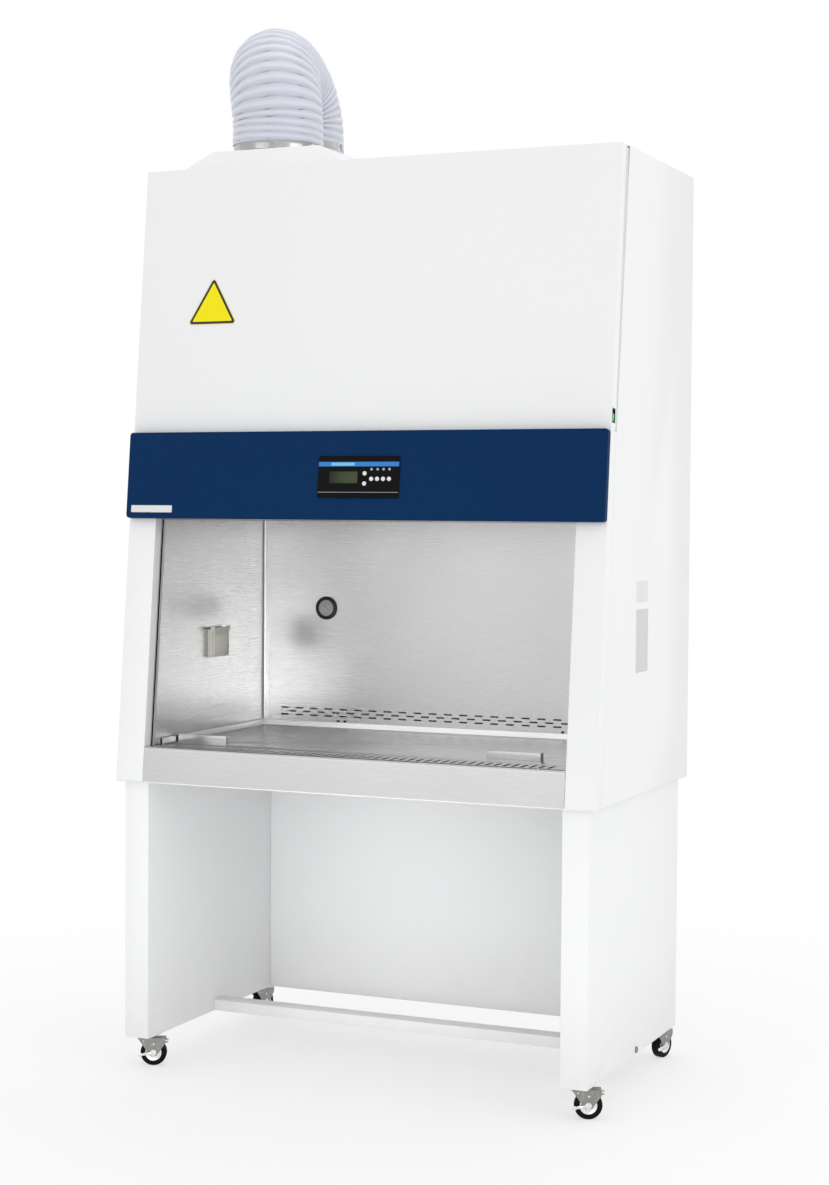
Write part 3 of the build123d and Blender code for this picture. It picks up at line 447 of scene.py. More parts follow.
def addScrew(bm, frameAt, radius, height=0.0016):
    addRevolved(bm, [(0, height * 0.62), (radius * 0.30, height * 0.62), (radius * 0.34, height),
                     (radius * 0.75, height * 0.92), (radius * 0.96, height * 0.6), (radius, 0.0), (0, 0.0)],
                     frameAt, 20)


# Flexible duct
ductShape = dict(base=(-0.380, -0.030, 2.479), rise=0.084, bend=0.140, drop=0.060, turn=14, radius=0.1234,
                 swell=0.0008, lean=0.030, straight=0.050, pitch=0.0192, crease=0.0072, cuff=0.046,
                 cuffCrease=0.0016, fade=0.02, wall=0.003, crest=0.45, swellPower=0.6,
                 puckers=((0.0005, 9, 3), (0.0003, 17, -1)), perBand=8, around=112, step=0.004)


def ductPoint(s):  # point at a distance along the duct's middle, which leans aside on its way
    d = ductShape
    turn = math.radians(d["turn"])
    back, side = Vector((-math.sin(turn), math.cos(turn), 0)), Vector((math.cos(turn), math.sin(turn), 0))
    arc = math.pi * d["bend"]
    total = d["rise"] + arc + d["drop"]
    angle = min(max((s - d["rise"]) / d["bend"], 0), math.pi)
    height = min(s, d["rise"]) + d["bend"] * math.sin(angle) - max(s - d["rise"] - arc, 0)
    share = min(max((s - d["straight"]) / (total - 2 * d["straight"]), 0), 1)
    lean = d["lean"] * math.sin(math.pi * share) ** 2
    return Vector(d["base"]) + back * d["bend"] * (1 - math.cos(angle)) + Vector((0, 0, height)) - side * lean


def ductFrame(s):
    d = ductShape
    turn = math.radians(d["turn"])
    total = d["rise"] + math.pi * d["bend"] + d["drop"]
    step = d["step"]
    near, far = ductPoint(max(s - step, 0)), ductPoint(min(s + step, total))
    along = (far - near).normalized()
    if s < step or s > total - step:
        along = Vector((0, 0, 1 if s < step else -1))
    side = Vector((math.cos(turn), math.sin(turn), 0))
    side = (side - along * side.dot(along)).normalized()
    return ductPoint(s), along, side, total


def makeDuct():
    d = ductShape
    rng = random.Random(7)
    total = ductFrame(0)[3]
    bands = round(total / d["pitch"])
    slack = [rng.uniform(0.75, 1.2) for _ in range(bands + 2)]
    phase = [rng.uniform(0, math.tau) for _ in range(3)]
    rows = bands * d["perBand"]
    bm = bmesh.new()
    level = bm.verts.layers.float.new("ridgeHeight")
    skins = []
    for inner in (False, True):
        rings = []
        for i in range(rows + 1):
            s = total * i / rows
            point, along, side, _ = ductFrame(s)
            other = along.cross(side).normalized()
            ring = []
            for j in range(d["around"]):
                angle = math.tau * j / d["around"]
                turnPart = (i / d["perBand"] + angle / math.tau) if 0 < i < rows else i / d["perBand"]
                band = min(int(turnPart), bands)
                t = turnPart - int(turnPart)
                bulge = math.sin(math.pi * t) ** d["crest"] if t > 0 else 0.0
                fromEnd = min(s, total - s)
                ends = min(1.0, fromEnd / d["fade"])
                # over the spigots the wall is held out
                free = min(max((fromEnd - d["cuff"]) / d["fade"], 0.0), 1.0)
                depth = d["cuffCrease"] + (d["crease"] * slack[band] - d["cuffCrease"]) * free
                pucker = sum(high * math.sin(waves * angle + shift + drift * turnPart)
                             for (high, waves, drift), shift in zip(d["puckers"], phase))
                radius = (d["radius"] + d["swell"] * math.sin(math.pi * s / total) ** d["swellPower"]
                          - depth * (1 - bulge) * ends + pucker * bulge * ends)
                if inner:
                    radius -= d["wall"]
                vert = bm.verts.new(point + (side * math.cos(angle) + other * math.sin(angle)) * radius)
                vert[level] = bulge
                ring.append(vert)
            rings.append(ring)
        for i in range(rows):
            for j in range(d["around"]):
                k = (j + 1) % d["around"]
                quad = (rings[i][j], rings[i][k], rings[i + 1][k], rings[i + 1][j])
                bm.faces.new(quad[::-1] if inner else quad)
        skins.append(rings)
    for end in (0, -1):
        outerRing, innerRing = skins[0][end], skins[1][end]
        for j in range(d["around"]):
            k = (j + 1) % d["around"]
            bm.faces.new((outerRing[j], innerRing[j], innerRing[k], outerRing[k]))
    duct = pieceFrom(bm, "ductRibbed", ductVinyl, "cabinet", smooth=80)
    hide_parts("flexible_duct")


clampShape = dict(radius=0.1218, endEase=0.0004, thick=0.0012, width=0.0185, gap=5.0, housingAt=108,
                  low=2.4582, endLow=2.512)


def makeClamp(name, centre, low, radius):
    c = clampShape
    frameAt = Matrix.Translation((centre[0], centre[1], low))
    r0, r1, w = radius, radius + c["thick"], c["width"]
    bm = bmesh.new()
    for half in (0, 180):  # two halves, clear of the damper's shaft
        start, sweep = math.radians(half + c["gap"]), math.radians(180 - 2 * c["gap"])
        addRevolved(bm, [(r0, 0), (r1 - 0.0003, 0), (r1, 0.0006), (r1 - 0.0004, w * 0.30),
                         (r1 - 0.0004, w * 0.70), (r1, w - 0.0006), (r1 - 0.0003, w), (r0, w), (r0, 0)],
                         frameAt, 96, start, sweep)
    angle = math.radians(c["housingAt"])
    seat = frameAt @ Matrix.Rotation(angle, 4, "Z") @ Matrix.Translation((r1, 0, w / 2))
    seat = seat @ Matrix.Rotation(math.pi / 2, 4, "Y")
    addSolid(bm, roundedBox(0.015, 0.030, 0.003), 0, 0.009, seat, 0.0012)
    worm = seat @ Matrix.Translation((0, -0.021, 0.005)) @ Matrix.Rotation(math.pi / 2, 4, "X")
    addRevolved(bm, [(0, -0.042), (0.0035, -0.042), (0.0038, -0.006), (0.0045, -0.006), (0.005, -0.005),
                     (0.005, 0.0), (0.0042, 0.001), (0.0012, 0.001), (0.001, -0.001), (0, -0.001)], worm, 24)
    pieceFrom(bm, name, clampSteel, "cabinet")


# The near-black smear at full strength on this clamp is painted reflection
clampSteel = brushed("clampSteel", "Z",
                     dict(stainlessLook, dark=(0.66, 0.66, 0.65), light=(0.88, 0.88, 0.87), rough=0.07,
                                             roughSwing=0.05, smudgeAndReflectionColour=(0.14, 0.145, 0.13), smear=1.0,
                                             cloudScale=13))
makeDuct()
makeClamp("ductClampLow", ductShape["base"][:2], clampShape["low"], clampShape["radius"])
endTurn = math.radians(ductShape["turn"])
ductEnd = (ductShape["base"][0] - 2 * ductShape["bend"] * math.sin(endTurn),
           ductShape["base"][1] + 2 * ductShape["bend"] * math.cos(endTurn))
makeClamp("ductClampEnd", ductEnd, clampShape["endLow"], ductShape["radius"] + clampShape["endEase"])
print("duct made")


# Sheet-metal pieces with their edges eased
easedPieces = {  # node: (name, edge radius)
    "front_cover": ("frontCoverPressed", 1.3), "side_panel_left": ("sidePanelLeftPressed", 0.9),
    "side_panel_right": ("sidePanelRightPressed", 0.9), "rear_panel": ("rearPanelPressed", 0.9),
    "base_pan": ("basePanPressed", 1.0), "top_panel": ("topPanelPressed", 0.9),
    "pillar_left": ("pillarLeftPressed", 1.2), "pillar_right": ("pillarRightPressed", 1.2),
    "stand_leg_left": ("standLegLeftFolded", 2.0), "stand_leg_right": ("standLegRightFolded", 2.0),
    "stand_back_panel": ("standBackPanelFolded", 1.6), "stand_crossbar": ("standCrossbarFolded", 1.2),
    "work_tray": ("workTrayPressed", 0.8), "tray_handles": ("trayHandlesBent", 0.7),
    "outlet_box": ("outletBoxMoulded", 0.9), "outlet_cover": ("outletCoverMoulded", 1.2),
    "sash_handle": ("sashHandleRolled", 2.2), "side_port_cover": ("sidePortCoverMoulded", 0.5),
    "exhaust_hood": ("exhaustHoodFolded", 1.2),
}
easing = dict(merge=2e-6, flatBelow=0.4, sharpAbove=40, smooth=38)


def easeEdges(nodeName, name, radius):
    source = nodes[nodeName]
    bm = bmesh.new()
    bm.from_mesh(source.data)
    bmesh.ops.remove_doubles(bm, verts=bm.verts, dist=easing["merge"])
    bmesh.ops.dissolve_limit(bm, angle_limit=math.radians(easing["flatBelow"]), verts=bm.verts,
                             edges=bm.edges)
    limit = math.radians(easing["sharpAbove"])
    sharp = [e for e in bm.edges if len(e.link_faces) == 2 and e.calc_face_angle(0) > limit]
    bmesh.ops.bevel(bm, geom=sharp, offset=radius * mm, segments=2, profile=0.6, affect="EDGES",
                    clamp_overlap=True, loop_slide=True)
    made = pieceFrom(bm, name, source.data.materials[0], source["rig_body"],
                     easing["smooth"])
    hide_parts(nodeName)


for nodeName, (name, radius) in easedPieces.items():
    easeEdges(nodeName, name, radius)
print("pressed edges eased:", len(easedPieces))


# Blank triangle on the cover
signShape = dict(middle=(-450, 1260), side=142, corner=6, rim=3.4, border=9.0, borderEase=1.35,
                 fieldCorner=0.3, film=0.35)


def triangle(side, corner, lift=0.0):
    reach = side / math.sqrt(3)
    points = [(reach * math.cos(math.radians(a)), reach * math.sin(math.radians(a)) + lift)
              for a in (90, 210, 330)]
    return [(x * mm, y * mm) for x, y in roundedPolygon(points, corner, 6)]


def makeSign():
    d = signShape
    seat = onFront(*d["middle"])
    shrink = 2 * math.sqrt(3)
    layers = (("signRim", signPale, d["side"] + shrink * d["rim"], d["corner"] + d["rim"], 0.0, 1.0),
              ("signBorder", signBlack, d["side"], d["corner"], 1.0, 1.5),
              ("signField", signYellow, d["side"] - shrink * d["border"] / d["borderEase"],
               d["corner"] * d["fieldCorner"], 1.5, 2.0))
    for name, material, side, corner, low, high in layers:
        bm = bmesh.new()
        addSolid(bm, triangle(side, corner), low * d["film"] * mm, high * d["film"] * mm, seat, 0.00008, 1)
        pieceFrom(bm, name, material, "cabinet")


makeSign()


# Bare plates
def barePlate(name, frameAt, width, height, thick, radius, material, rimMaterial, rim=1.2):
    bm = bmesh.new()
    addSolid(bm, roundedBox(width * mm, height * mm, radius * mm), 0, thick * mm, frameAt,
             min(0.25, thick / 3) * mm)
    pieceFrom(bm, name, rimMaterial or material, "cabinet")
    if rimMaterial:
        bm = bmesh.new()
        addSolid(bm, roundedBox((width - 2 * rim) * mm, (height - 2 * rim) * mm, max(radius - rim, 0.3) * mm),
                 thick * mm, (thick + 0.15) * mm, frameAt, 0.05 * mm, 1)
        pieceFrom(bm, name + "Face", material, "cabinet")


plates = (  # name, frame, width, height, thickness, corner radius, face, rim
    ("bandPlate", onFront(-592, 724.5, 22), 124, 19, 0.9, 1.8, labelPale, labelSilver),
    ("sideLabel", facing((0.670, -0.0335, 1.2905), (1, 0, 0)), 93, 55, 0.25, 2.0, labelPale, None),
    ("rearPlate", facing((0.36, 0.390, 2.02), (0, 1, 0)), 120, 70, 0.5, 3.0, labelPale, labelSilver),
)
for plate in plates:
    barePlate(*plate)


# Control panel front
panelShape = dict(u=(-105, 123), face=25.0, stripe=(836.0, 847.6), line=(769.3, 770.4), film=0.25,
                  field=(-35, 841.8, 66, 7.4), screen=(-72.5, 6.5, 793.0, 823.0),
                  lights=((45.5, 828.7), (62.5, 828.7), (79, 828.7), (95.5, 828.7)))


def makePanelFront():
    d = panelShape
    u0, u1 = d["u"]
    for name, (v0, v1), material, height in (("panelStripe", d["stripe"], stripeBlue, d["film"]),
                                             ("panelLine", d["line"], lightGrey, 0.15)):
        bm = bmesh.new()
        addSolid(bm, roundedBox((u1 - u0 - 3) * mm, (v1 - v0) * mm, 0.3 * mm, 2), 0, height * mm,
                 onFront((u0 + u1) / 2, (v0 + v1) / 2, d["face"]), 0.05 * mm, 1)
        pieceFrom(bm, name, material, "cabinet")
    bm = bmesh.new()  # pale bare field on the stripe
    u, v, width, height = d["field"]
    addSolid(bm, roundedBox(width * mm, height * mm, 1.0 * mm), 0, (d["film"] + 0.12) * mm,
             onFront(u, v, d["face"]), 0.05 * mm, 1)
    pieceFrom(bm, "panelStripeField", stripePale, "cabinet")
    s0, s1, t0, t1 = d["screen"]
    middle = onFront((s0 + s1) / 2, (t0 + t1) / 2, d["face"] - 1)
    bm = bmesh.new()
    addSolid(bm, roundedBox((s1 - s0) * mm, (t1 - t0) * mm, 0.8 * mm), 0, 0.45 * mm, middle, 0.15 * mm)
    pieceFrom(bm, "panelScreen", screenOlive, "cabinet")
    bm = bmesh.new()  # bezel round the screen
    outer = roundedBox((s1 - s0 + 4.6) * mm, (t1 - t0 + 4.2) * mm, 1.4 * mm)
    inner = roundedBox((s1 - s0 + 0.6) * mm, (t1 - t0 + 0.6) * mm, 0.9 * mm)
    rings = [[bm.verts.new(middle @ Vector((x, y, z * mm))) for x, y in shape]
             for shape, z in ((inner, 0.0), (inner, 0.75), (outer, 1.15), (outer, 0.0))]
    for a, b in zip(rings, rings[1:] + rings[:1]):
        for i in range(len(a)):
            j = (i + 1) % len(a)
            bm.faces.new((a[i], a[j], b[j], b[i]))
    pieceFrom(bm, "panelBezel", panelBlack, "cabinet", smooth=20)
    for number, (u, v) in enumerate(d["lights"], 1):
        bm = bmesh.new()
        addRevolved(bm, [(0, 0.30 * mm), (1.3 * mm, 0.28 * mm), (1.9 * mm, 0.12 * mm), (2.2 * mm, 0.5 * mm),
                         (3.1 * mm, 0.5 * mm), (3.4 * mm, 0.25 * mm), (3.4 * mm, 0), (0, 0)],
                         onFront(u, v, d["face"]), 28)
        pieceFrom(bm, "panelLight%d" % number, lightGrey, "cabinet")


stripePale = plastic("stripePale", (0.17, 0.55, 0.80), rough=0.35)


def screenFinish():
    screen = Finish("screenOlive", Roughness=0.22, Specular_IOR_Level=0.10)
    across = screen.axis("X")
    cell = screen.node("ShaderNodeTexChecker", None, {"Vector": screen.place(), "Scale": 1400.0,
                       "Color1": (1, 1, 1), "Color2": (0.86, 0.86, 0.86)})
    tone = screen.mix(screen.span(across, -0.074, -0.035, 0.0, 1.0), (0.020, 0.025, 0.015),
                      (0.048, 0.068, 0.033))
    tone = screen.mix(screen.span(across, -0.035, 0.006, 0.0, 0.7), tone, (0.062, 0.088, 0.045))
    screen.feed(Base_Color=screen.mix(0.5, tone, cell, "MULTIPLY"))
    return keep(screen)


screenOlive = screenFinish()
makePanelFront()
keyShape = dict(face=25, places=((27, 818), (27, 792), (46, 804), (62.5, 804), (79, 804), (95.5, 804)))
for number, (u, v) in enumerate(keyShape["places"], 1):
    bm = bmesh.new()  # domed cap of each key, with a dished middle
    addRevolved(bm, [(0, 2.15 * mm), (2.4 * mm, 2.2 * mm), (3.9 * mm, 2.45 * mm), (4.9 * mm, 2.2 * mm),
                     (5.4 * mm, 1.5 * mm), (5.45 * mm, 0.4 * mm), (0, 0.4 * mm)],
                     onFront(u, v, keyShape["face"]), 36)
    pieceFrom(bm, "keyCap%d" % number, buttonWhite, "key_%d" % number)
print("panel front made")


# Corner strips of the chamber
cornerShape = dict(x=0.600, y=0.320, leg=22, bend=9, thick=1.2, lift=0.15, low=880, high=1466)


def cornerLine(off):  # along the rear wall, round the bend, then along the side wall
    leg, bend, lift = (cornerShape[key] for key in ("leg", "bend", "lift"))
    turns = [math.radians(a) for a in range(0, 91, 9)]
    curve = [(bend - (bend - off) * math.sin(a) + lift, bend - (bend - off) * math.cos(a) + lift)
             for a in turns]
    return [(leg, lift + off)] + curve + [(lift + off, leg)]


def makeCornerStrip(name, side):
    d = cornerShape
    corner = Vector((side * d["x"], d["y"], 0))
    outline = cornerLine(0.0) + cornerLine(d["thick"])[::-1]
    frameAt = Matrix(((-side, 0, 0, corner.x), (0, -1, 0, corner.y), (0, 0, 1, 0), (0, 0, 0, 1)))
    bm = bmesh.new()
    addSolid(bm, [(x * mm, y * mm) for x, y in outline], d["low"] * mm, d["high"] * mm, frameAt)
    pieceFrom(bm, name, stainlessZ, "cabinet", smooth=30)


makeCornerStrip("cornerStripLeft", -1)
makeCornerStrip("cornerStripRight", 1)


# Round cable port
portShape = dict(place=(-0.395, 0.320, 1.209), outer=34, bore=24, gripTurn=35, notches=8)


def makePort():
    d = portShape
    seat = facing(d["place"], (0, -1, 0))
    bm = bmesh.new()
    r, b = d["outer"] * mm, d["bore"] * mm
    addRevolved(bm, [(b - 0.0002, 0.0002), (b - 0.0002, 0.0055), (b + 0.0012, 0.0068), (b + 0.003, 0.0069),
                     (r - 0.003, 0.0062), (r - 0.0006, 0.0040), (r - 0.0002, 0.0012), (r - 0.0002, 0.0002),
                     (b - 0.0002, 0.0002)], seat, 72)
    ring = pieceFrom(bm, "portRing", portRubber, "cabinet")
    bm = bmesh.new()  # grey plug with a raised grip across it and notches round its rim
    profile = [(0, 0.0026), (0.0125, 0.0026), (0.0140, 0.0044), (0.0175, 0.0046), (0.0185, 0.0030),
               (0.0212, 0.0028), (0.0225, 0.0036), (0.0234, 0.0030), (0.0234, -0.0016), (0, -0.0016)]
    addRevolved(bm, profile, seat, 72)
    addSolid(bm, roundedBox(0.0055, 0.0225, 0.0026), 0.0025, 0.0064,
             seat @ Matrix.Rotation(math.radians(d["gripTurn"]), 4, "Z"), 0.0010, 3)
    for i in range(d["notches"]):
        spot = seat @ Matrix.Rotation(math.tau * (i + 0.5) / d["notches"], 4, "Z")
        spot = spot @ Matrix.Translation((0.0158, 0, 0.0044))
        addSolid(bm, roundedBox(0.0022, 0.0050, 0.0010), 0, 0.0010, spot, 0.0003)
    pieceFrom(bm, "portPlug", plugGrey, "cabinet")
    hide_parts("wall_port")


makePort()


# Outlet on the left wall
outletShape = dict(middle=(0.031, 1.118), lidFace=-0.582, lidCentre=1.1178, seatFace=-0.5965, apart=0.021,
                   pin=0.0055)


def makeOutletFront():
    o = outletShape
    y0, z0 = o["middle"]
    lid = facing((o["lidFace"], y0, o["lidCentre"]), (1, 0, 0))
    bm = bmesh.new()  # finger lip and a shallow panel on the flip lid
    addSolid(bm, roundedBox(0.066, 0.048, 0.004), 0.0, 0.0009, lid, 0.0004)
    addSolid(bm, roundedBox(0.024, 0.004, 0.0015), 0.0, 0.0022, lid @ Matrix.Translation((0, -0.0295, 0)),
             0.0006)
    pieceFrom(bm, "outletLidPanel", outletPale, "outlet_lid")
    sockets, holeShadeMesh = bmesh.new(), bmesh.new()
    for y in (-o["apart"], o["apart"]):  # two plain earthed sockets inside the box
        seat = facing((o["seatFace"], y0 + y, z0), (1, 0, 0))
        addRevolved(sockets, [(0.0175, 0.0), (0.0175, 0.0078), (0.0165, 0.0088), (0.0150, 0.0088),
                              (0.0142, 0.0078), (0.0138, 0.0035), (0.0, 0.0035)], seat, 48)
        for pin in (-o["pin"], o["pin"]):
            # black discs in the pin holes: painted shade of the holes
            seat = facing((o["seatFace"] + 0.0033, y0 + y + pin, z0), (1, 0, 0))
            addRevolved(holeShadeMesh, [(0, 0.0002), (0.0021, 0.0002), (0.0021, 0.0006), (0.0026, 0.0006),
                                (0.0026, 0.0)], seat, 20)
    pieceFrom(sockets, "outletSockets", outletPale, "cabinet")
    pieceFrom(holeShadeMesh, "outletPinHoleShade", blackPlasticAndHoleShade, "cabinet")


outletPale = plastic("outletPale", (0.83, 0.82, 0.76), rough=0.36)
makeOutletFront()
print("chamber fittings made")


# Glowing tube in the lamp fixture
tubeShape = dict(v=736.3, w=-62.0, half=0.540, radius=0.0083, cap=0.016, strength=3.2)


def makeTube():
    d = tubeShape
    seat = onFront(0, d["v"], d["w"]) @ Matrix.Rotation(math.pi / 2, 4, "Y")
    r, h, c = d["radius"], d["half"], d["cap"]
    bm = bmesh.new()
    addRevolved(bm, [(0, -h + c), (r, -h + c), (r, h - c), (0, h - c)], seat, 28)
    pieceFrom(bm, "lampTube", tubeGlow, "cabinet")
    bm = bmesh.new()
    for end in (-1, 1):
        addRevolved(bm, [(0, end * (h - c)), (r + 0.0003, end * (h - c)), (r + 0.0003, end * (h - 0.002)),
                         (r - 0.0015, end * h), (0, end * h)],
                    seat, 28)
    pieceFrom(bm, "lampTubeCaps", zincPlate, "cabinet")


def glowFinish():
    glow = Finish("tubeGlow", Roughness=0.3, Emission_Strength=tubeShape["strength"])
    glow.feed(Base_Color=glow.mix(glow.noise(40, 2), (0.86, 0.87, 0.88), (0.92, 0.93, 0.94)),
              Emission_Color=glow.mix(glow.noise(9, 2), (0.94, 0.97, 1.0), (1.0, 1.0, 1.0)))
    return keep(glow)


tubeGlow = glowFinish()
makeTube()


# Grey strips in the gaps beside the cover: painted shadow of the gaps
gapShadowShape = dict(u=(-666.0, 666.0), v=(930.0, 1636.0), floor=-58.5, top=-34.0, width=3.2)


def makeGapShadows():
    d = gapShadowShape
    bm = bmesh.new()
    for u in d["u"]:
        addSolid(bm, roundedBox(d["width"] * mm, (d["v"][1] - d["v"][0]) * mm, 0.5 * mm, 3), 0,
                 (d["top"] - d["floor"]) * mm, onFront(u, (d["v"][0] + d["v"][1]) / 2, d["floor"]), 0.4 * mm)
    pieceFrom(bm, "coverGapShadowStrips", gapShadowGrey, "cabinet")


# grey of the painted gap shadow
gapShadowGrey = plastic("gapShadowGrey", (0.72, 0.72, 0.73), rough=0.6, spread=0.1)
makeGapShadows()


# Pale seals on the glass channels
sealShape = dict(u=589.6, thick=0.8, low=97.0, high=1396.0, strips=((-52.0, -42.4), (-33.9, -32.0)))


def makeSeals():
    d = sealShape
    bm = bmesh.new()
    for side in (-1, 1):
        for back, front in d["strips"]:
            seat = onFront(side * d["u"], (d["low"] + d["high"]) / 2, back)
            addSolid(bm, roundedBox(d["thick"] * mm, (d["high"] - d["low"]) * mm, 0.3 * mm, 3), 0,
                     (front - back) * mm, seat, 0.2 * mm)
    pieceFrom(bm, "channelSeals", sealGrey, "cabinet")


sealGrey = plastic("sealGrey", (0.52, 0.52, 0.53), rough=0.5, spread=0.15)
makeSeals()


# Casters: hubs, bolts, tabs, pads
casterShape = dict(spots=dict(front_left=(-1, -1, 23), front_right=(1, -1, 23), rear_left=(-1, 1, 73),
                              rear_right=(1, 1, 73)),
                   across=0.615, along=0.323, trail=0.020, axle=0.035, wheelFace=0.011, cheekFace=0.015,
                   pedal=(0.047, 0.065), webs=5, armTurn=188, padLean=-14, groove=0.0045)


def casterFrame(name):
    sideSign, endSign, angle = casterShape["spots"][name]
    place = Matrix.Translation((sideSign * casterShape["across"], endSign * casterShape["along"], 0))
    return place @ Matrix.Rotation(math.radians(angle), 4, "Z")


def sideways(frameAt, x, y, z, sign):  # frame on a cheek or wheel face, its Z pointing away from the wheel
    return frameAt @ Matrix.Translation((x, sign * y, z)) @ Matrix.Rotation(-sign * math.pi / 2, 4, "X")


def makeCasterDetail(name):
    d = casterShape
    frameAt = casterFrame(name)
    hub, tread, bolts, pad = bmesh.new(), bmesh.new(), bmesh.new(), bmesh.new()
    for sign in (-1, 1):
        face = sideways(frameAt, d["trail"], d["wheelFace"], d["axle"], sign)
        addRevolved(hub, [(0.0043, 0.0010), (0.0070, 0.0011), (0.0082, 0.0004), (0.0130, 0.0001),
                          (0.0182, 0.0004), (0.0202, 0.0012), (0.0216, 0.0011), (0.0222, -0.0004),
                          (0.0043, -0.0004), (0.0043, 0.0010)], face, 56)
        for i in range(d["webs"]):  # pressed webs round the hub
            spot = face @ Matrix.Rotation(math.tau * i / d["webs"] + 0.3, 4, "Z")
            addSolid(hub, roundedBox(0.0065, 0.0026, 0.0010), 0.0, 0.0011,
                     spot @ Matrix.Translation((0.0142, 0, 0)), 0.0003)
        addRevolved(bolts, [(0, 0.0042), (0.0026, 0.0042), (0.0030, 0.0036), (0.0030, 0.0030),
                            (0.0056, 0.0029), (0.0062, 0.0024), (0.0062, 0.0008), (0.0082, 0.0007),
                            (0.0084, 0.0)],
                    sideways(frameAt, d["trail"], d["cheekFace"], d["axle"], sign), 6 * 8)
        addRevolved(bolts, [(0, 0.0015), (0.0018, 0.0013), (0.0027, 0.0006), (0.0029, 0.0)],
                    sideways(frameAt, d["trail"] + 0.001, d["cheekFace"], 0.0585, sign), 24)
        addRevolved(bolts, [(0, 0.0012), (0.0014, 0.0010), (0.0021, 0.0005), (0.0022, 0.0)],
                    sideways(frameAt, -0.006, d["cheekFace"], 0.0665, sign), 24)
    for k in (-1, 0, 1):  # fine grooves round the tyre
        addRevolved(tread, [(0.03485, -0.0008), (0.03495, -0.0004), (0.03495, 0.0004), (0.03485, 0.0008)],
                    frameAt @ Matrix.Translation((d["trail"], k * d["groove"], d["axle"]))
                    @ Matrix.Rotation(math.pi / 2, 4, "X"), 64)
    face = sideways(frameAt, d["trail"], d["cheekFace"], d["axle"], -1)
    arm = face @ Matrix.Rotation(math.radians(d["armTurn"]), 4, "Z")
    addSolid(bolts, roundedBox(0.030, 0.0068, 0.0030, 5, 0.015), 0.0009, 0.0027, arm, 0.0006)
    addSolid(bolts, roundedBox(0.0125, 0.0098, 0.0044, 6, 0.0345), 0.0004, 0.0050, arm, 0.0016, 3)
    px, pz = d["pedal"]
    lean = Matrix.Rotation(math.radians(d["padLean"]), 4, "Y")
    tilt = frameAt @ Matrix.Translation((px + 0.0075, 0, pz)) @ lean
    addSolid(pad, roundedBox(0.0135, 0.0216, 0.0034), 0.0006, 0.0036, tilt, 0.0011, 3)
    for k in (-1, 0, 1):
        addSolid(pad, roundedBox(0.0015, 0.0150, 0.0006), 0.0034, 0.0044,
                 tilt @ Matrix.Translation((k * 0.0036, 0, 0)), 0.0003)
    pieceFrom(hub, "hub_" + name, hubBright, "wheel_" + name, 30)
    pieceFrom(tread, "tread_" + name, tyreBlack, "wheel_" + name, 30)
    pieceFrom(bolts, "bolts_" + name, hubBright, "caster_" + name, 30)
    pieceFrom(pad, "pad_" + name, hubBright, "brake_" + name, 30)


hubBright = zinc("hubBright", dict(spangle=700, stainScale=160, contrast=0.45, light=(0.84, 0.85, 0.85),
                                   dark=(0.62, 0.63, 0.64), stain=(0.46, 0.47, 0.47), rough=0.20, pit=0.0001))
for name in casterShape["spots"]:
    makeCasterDetail(name)
print("caster details made")


# Bolts, clips and screws
fixings = dict(crossbar=((-0.650, 0.018, 0.097), (0.650, 0.018, 0.097)),
               clips=(-0.3555, -0.3335, 0.3335, 0.3555), clipY=0.3195, clipZ=0.8815,
               rearColumns=(-0.645, 0.645), rearRows=(0.86, 1.14, 1.42, 1.70, 1.98, 2.26), rearFace=0.3886)


def makeFixings():
    bolts = bmesh.new()
    for x, y, z in fixings["crossbar"]:
        addRevolved(bolts, [(0, 0.0036), (0.0022, 0.0036), (0.0026, 0.0042), (0.0062, 0.0040),
                            (0.0068, 0.0030), (0.0068, 0.0010), (0.0092, 0.0009), (0.0094, 0.0)],
                            facing((x, y, z), (1 if x > 0 else -1, 0, 0)), 6 * 6)
    pieceFrom(bolts, "crossbarBolts", zincPlate, "cabinet", 30)
    clips = bmesh.new()
    for x in fixings["clips"]:
        addSolid(clips, roundedBox(0.0065, 0.0050, 0.0012), 0.0, 0.0045,
                 facing((x, fixings["clipY"], fixings["clipZ"]), (0, -1, 0)), 0.0006)
    pieceFrom(clips, "trayClips", blackPlasticAndHoleShade, "cabinet")
    screws = bmesh.new()
    for x in fixings["rearColumns"]:
        for z in fixings["rearRows"]:
            addScrew(screws, facing((x, fixings["rearFace"], z), (0, 1, 0)), 0.0042)
    pieceFrom(screws, "rearScrews", zincPlate, "cabinet", 30)


makeFixings()
print("fixings made")


# Camera
view = dict(place=(2.3257, -5.3088, 1.4937), yaw=0.4095, pitch=-0.0381, roll=0.0067, focalPixels=2155.49,
            framePixels=1185, sensor=36.0)


def aimCamera():
    data = bpy.data.cameras.new("camera")
    data.sensor_fit = "AUTO"
    data.sensor_width = view["sensor"]
    data.lens = view["focalPixels"] * view["sensor"] / view["framePixels"]
    data.clip_end = 60
    camera = bpy.data.objects.new("camera", data)
    bpy.context.scene.collection.objects.link(camera)
    forward = Vector((-math.sin(view["yaw"]) * math.cos(view["pitch"]),
                      math.cos(view["yaw"]) * math.cos(view["pitch"]), math.sin(view["pitch"])))
    right = Vector((math.cos(view["yaw"]), math.sin(view["yaw"]), 0))
    up = right.cross(forward)
    turned = math.cos(view["roll"]) * right + math.sin(view["roll"]) * up
    upTurned = math.cos(view["roll"]) * up - math.sin(view["roll"]) * right
    camera.matrix_world = Matrix((
        (turned.x, upTurned.x, -forward.x, view["place"][0]),
        (turned.y, upTurned.y, -forward.y, view["place"][1]),
        (turned.z, upTurned.z, -forward.z, view["place"][2]), (0, 0, 0, 1)))
    bpy.context.scene.camera = camera


